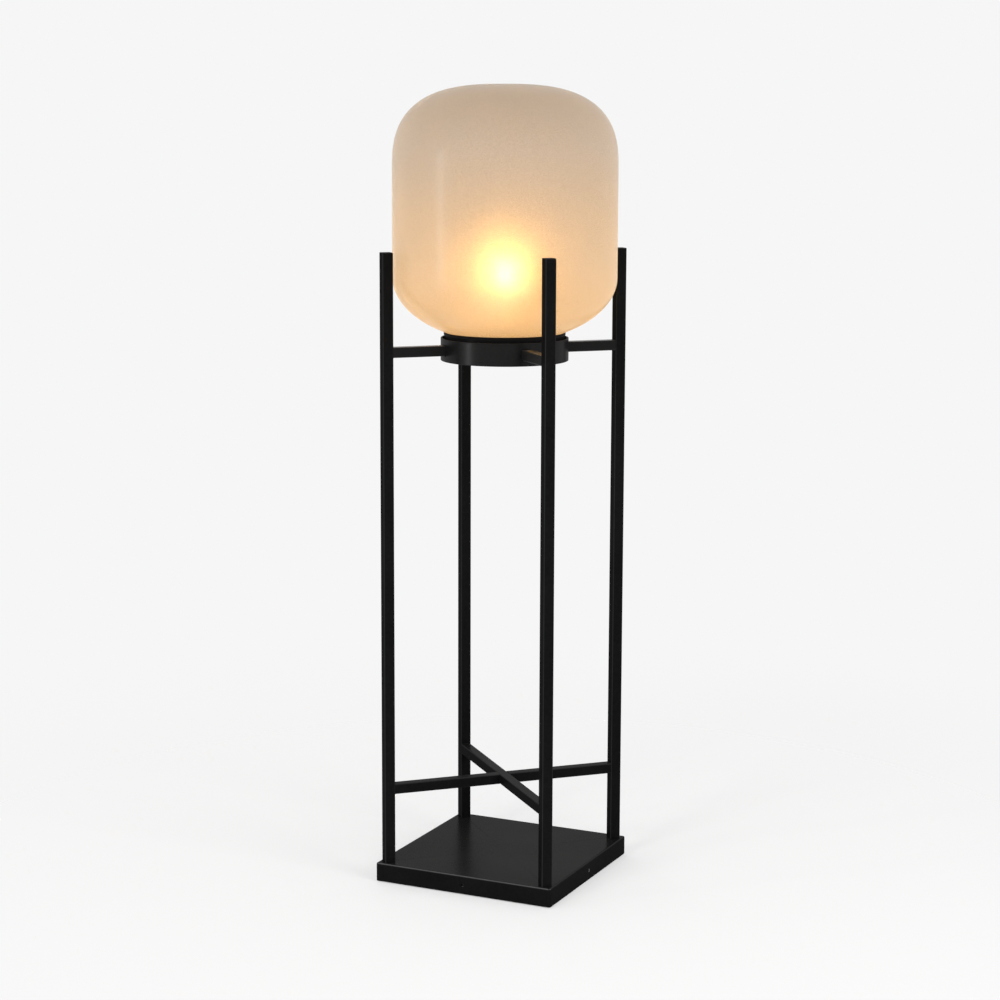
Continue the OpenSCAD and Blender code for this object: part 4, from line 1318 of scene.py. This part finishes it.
@dataclass
class Bulb:
    """The bulb: blown globe, threaded cap and lit rods."""

    low: float = 880.4
    globe_r: float = 30.0
    length: float = 106.5
    neck_meets: float = 35.0
    wall: float = 1.0
    cap_r: float = 13.2
    cap_low: float = 5.0
    cap_h: float = 22.0
    thread_pitch: float = 3.62
    thread_depth: float = 0.8
    thread_top: float = 18.6
    rod_r: float = 2.0
    rod_half: float = 17.0
    rod_at: float = 10.5

    def build(self) -> None:
        """Builds the globe, the cap and the rods."""
        self._globe()
        self._cap()
        self._rods()

    def _outline(self, t: float) -> np.ndarray:
        """The globe's half outline, t inside its outer face: a cubic neck that meets a sphere along its tangent."""
        r, r0 = self.globe_r, self.cap_r - 0.3
        centre, base = self.length - r, self.cap_low + self.cap_h
        open_a = math.radians(self.neck_meets)
        rise = centre - r * math.sin(open_a) - base
        u = np.linspace(0, 1, 20, endpoint=False)
        r1, slope = r * math.cos(open_a), rise * math.tan(open_a)
        neck = r0 * (2 * u**3 - 3 * u**2 + 1) + r1 * (3 * u**2 - 2 * u**3) + slope * (u**3 - u**2)
        a = np.linspace(-open_a, np.pi / 2, 40)
        return np.concatenate([joined(neck - t, base + rise * u),
                               joined((r - t) * np.cos(a), centre + (r - t) * np.sin(a))])

    def _globe(self) -> None:
        """The globe: both faces of its wall, joined at the neck."""
        outer, inner = self._outline(0.0), self._outline(self.wall)
        profile = np.concatenate([outer, inner[::-1]]) + [0, self.low]
        profile[len(outer) - 1:len(outer) + 1, 0] = 0.0
        revolve_piece("bulb_blown_globe", "bulb_globe", BULB_GLASS, "bulb", profile, 96, 60.0)

    def _cap(self) -> None:
        """The cap: r = R - depth * (0.5 - 0.5 cos(2 pi z / pitch - a)), faded out at both ends."""
        z, a = np.linspace(0.4, self.cap_h, 110)[:, None], around(96)
        fade = np.clip((z - 0.4) / 2.0, 0, 1) * np.clip((self.thread_top - z) / 2.0, 0, 1)
        wave = 0.5 - 0.5 * np.cos(2 * np.pi * z / self.thread_pitch - a)
        below_rim = 1 - np.clip(z - self.thread_top, 0, 1)
        r = self.cap_r - self.thread_depth * wave * fade - 0.25 * below_rim
        bottom = self.cap_low + self.low
        outer = joined(r * np.cos(a), r * np.sin(a), z + bottom)
        bore = self.cap_r - 1.35
        inner = revolved(np.array([(bore, self.cap_h), (bore, 0.0), (self.cap_r - 0.9, 0.0)]) + [0, bottom], 96)
        Shape().grid(np.concatenate([outer, inner]), wrap_rows=True).build(
            "bulb_threaded_cap", NICKEL, "bulb", ("bulb_cap",), 50.0)

    def _rods(self) -> None:
        """Eight lit rods with round ends, upright round the stem."""
        shape = Shape()
        middle = self.low + self.length - self.globe_r - 4.0
        a = np.linspace(-np.pi / 2, np.pi / 2, 9)
        end = joined(self.rod_r * np.cos(a), self.rod_half * np.sign(np.sin(a)) + self.rod_r * np.sin(a))
        end[[0, -1], 0] = 0.0
        rod = revolved(end, 16) + [self.rod_at, 0, middle]
        for degrees in np.arange(0.0, 360.0, 45.0):
            shape.grid(turned(rod, degrees))
        shape.build("bulb_lit_rods", FILAMENT, "bulb", ("bulb_filaments",), 60.0)


@dataclass
class Wiring:
    """The lead from the terminal block, up the back left post, to the lampholder."""

    radius: float = 1.7
    post: float = 190.889

    def build(self) -> None:
        """Builds the lead as a smooth tube through points in the base, the post and the arm.

        The arm's points are given as the distance along it, the distance across it and the height.
        """
        low = [(-96, 118, 16), (-106, 118, 16), (-113.8, 120.9, 16.5), (-120.5, 126.4, 17.0),
               (-125.5, 131.1, 18.5), (-128.3, 134.3, 22), (-128.8, 135.0, 28), (-128.8, 135.0, 400),
               (-128.8, 135.0, 805)]
        arm = [(self.post - 3.8, 2.1, 816), (self.post - 1.3, 0.3, 824), (self.post - 1.7, 0, 830),
               (self.post - 3.5, 0, 834.3), (self.post - 6.6, 0, 835.9), (self.post - 11, 0, 836), (102, 0, 836),
               (85, 0, 835.5), (59.4, 0, 832), (33.9, 0, 828.5), (14.1, 0, 827), (5.7, 0, 827.8), (1.4, 0, 831),
               (0, 0, 836), (0, 0, 865)]
        along, across, z = np.array(arm, float).T
        on_arm = joined((across - along) / math.sqrt(2), (across + along) / math.sqrt(2), z)
        rows = tube_along(smoothed(np.concatenate([low, on_arm])), self.radius, 14)
        Shape().solid(rows).build("sheathed_lead", SHEATH, "frame", ("inner_lead",), 60.0)


def dress_carried(frame: dict) -> None:
    """Gives every CAD node that is still shown its finish, by its slot in the record.
    """
    for part in frame["record"]["subparts"]:
        node = frame["nodes"][part["node"]]
        if node.hide_render:
            continue
        made = CARRIED[part["material_slot"]].material()
        if not node.material_slots:
            node.data.materials.append(made)
        for place in node.material_slots:
            place.material = made
        LOG.info("%s: carried over, %s", part["node"], part["material_slot"])


def main() -> None:
    logging.basicConfig(level=logging.INFO, format="%(name)s: %(message)s")
    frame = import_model()
    PhotoCamera().build()
    for part in (Base(), Uprights(), Holder(), Jar(), Bulb(), Wiring()):
        part.build()
    dress_carried(frame)
    Studio().build()
    bpy.context.scene.view_settings.view_transform = "Standard"


if __name__ == "__main__":
    main()
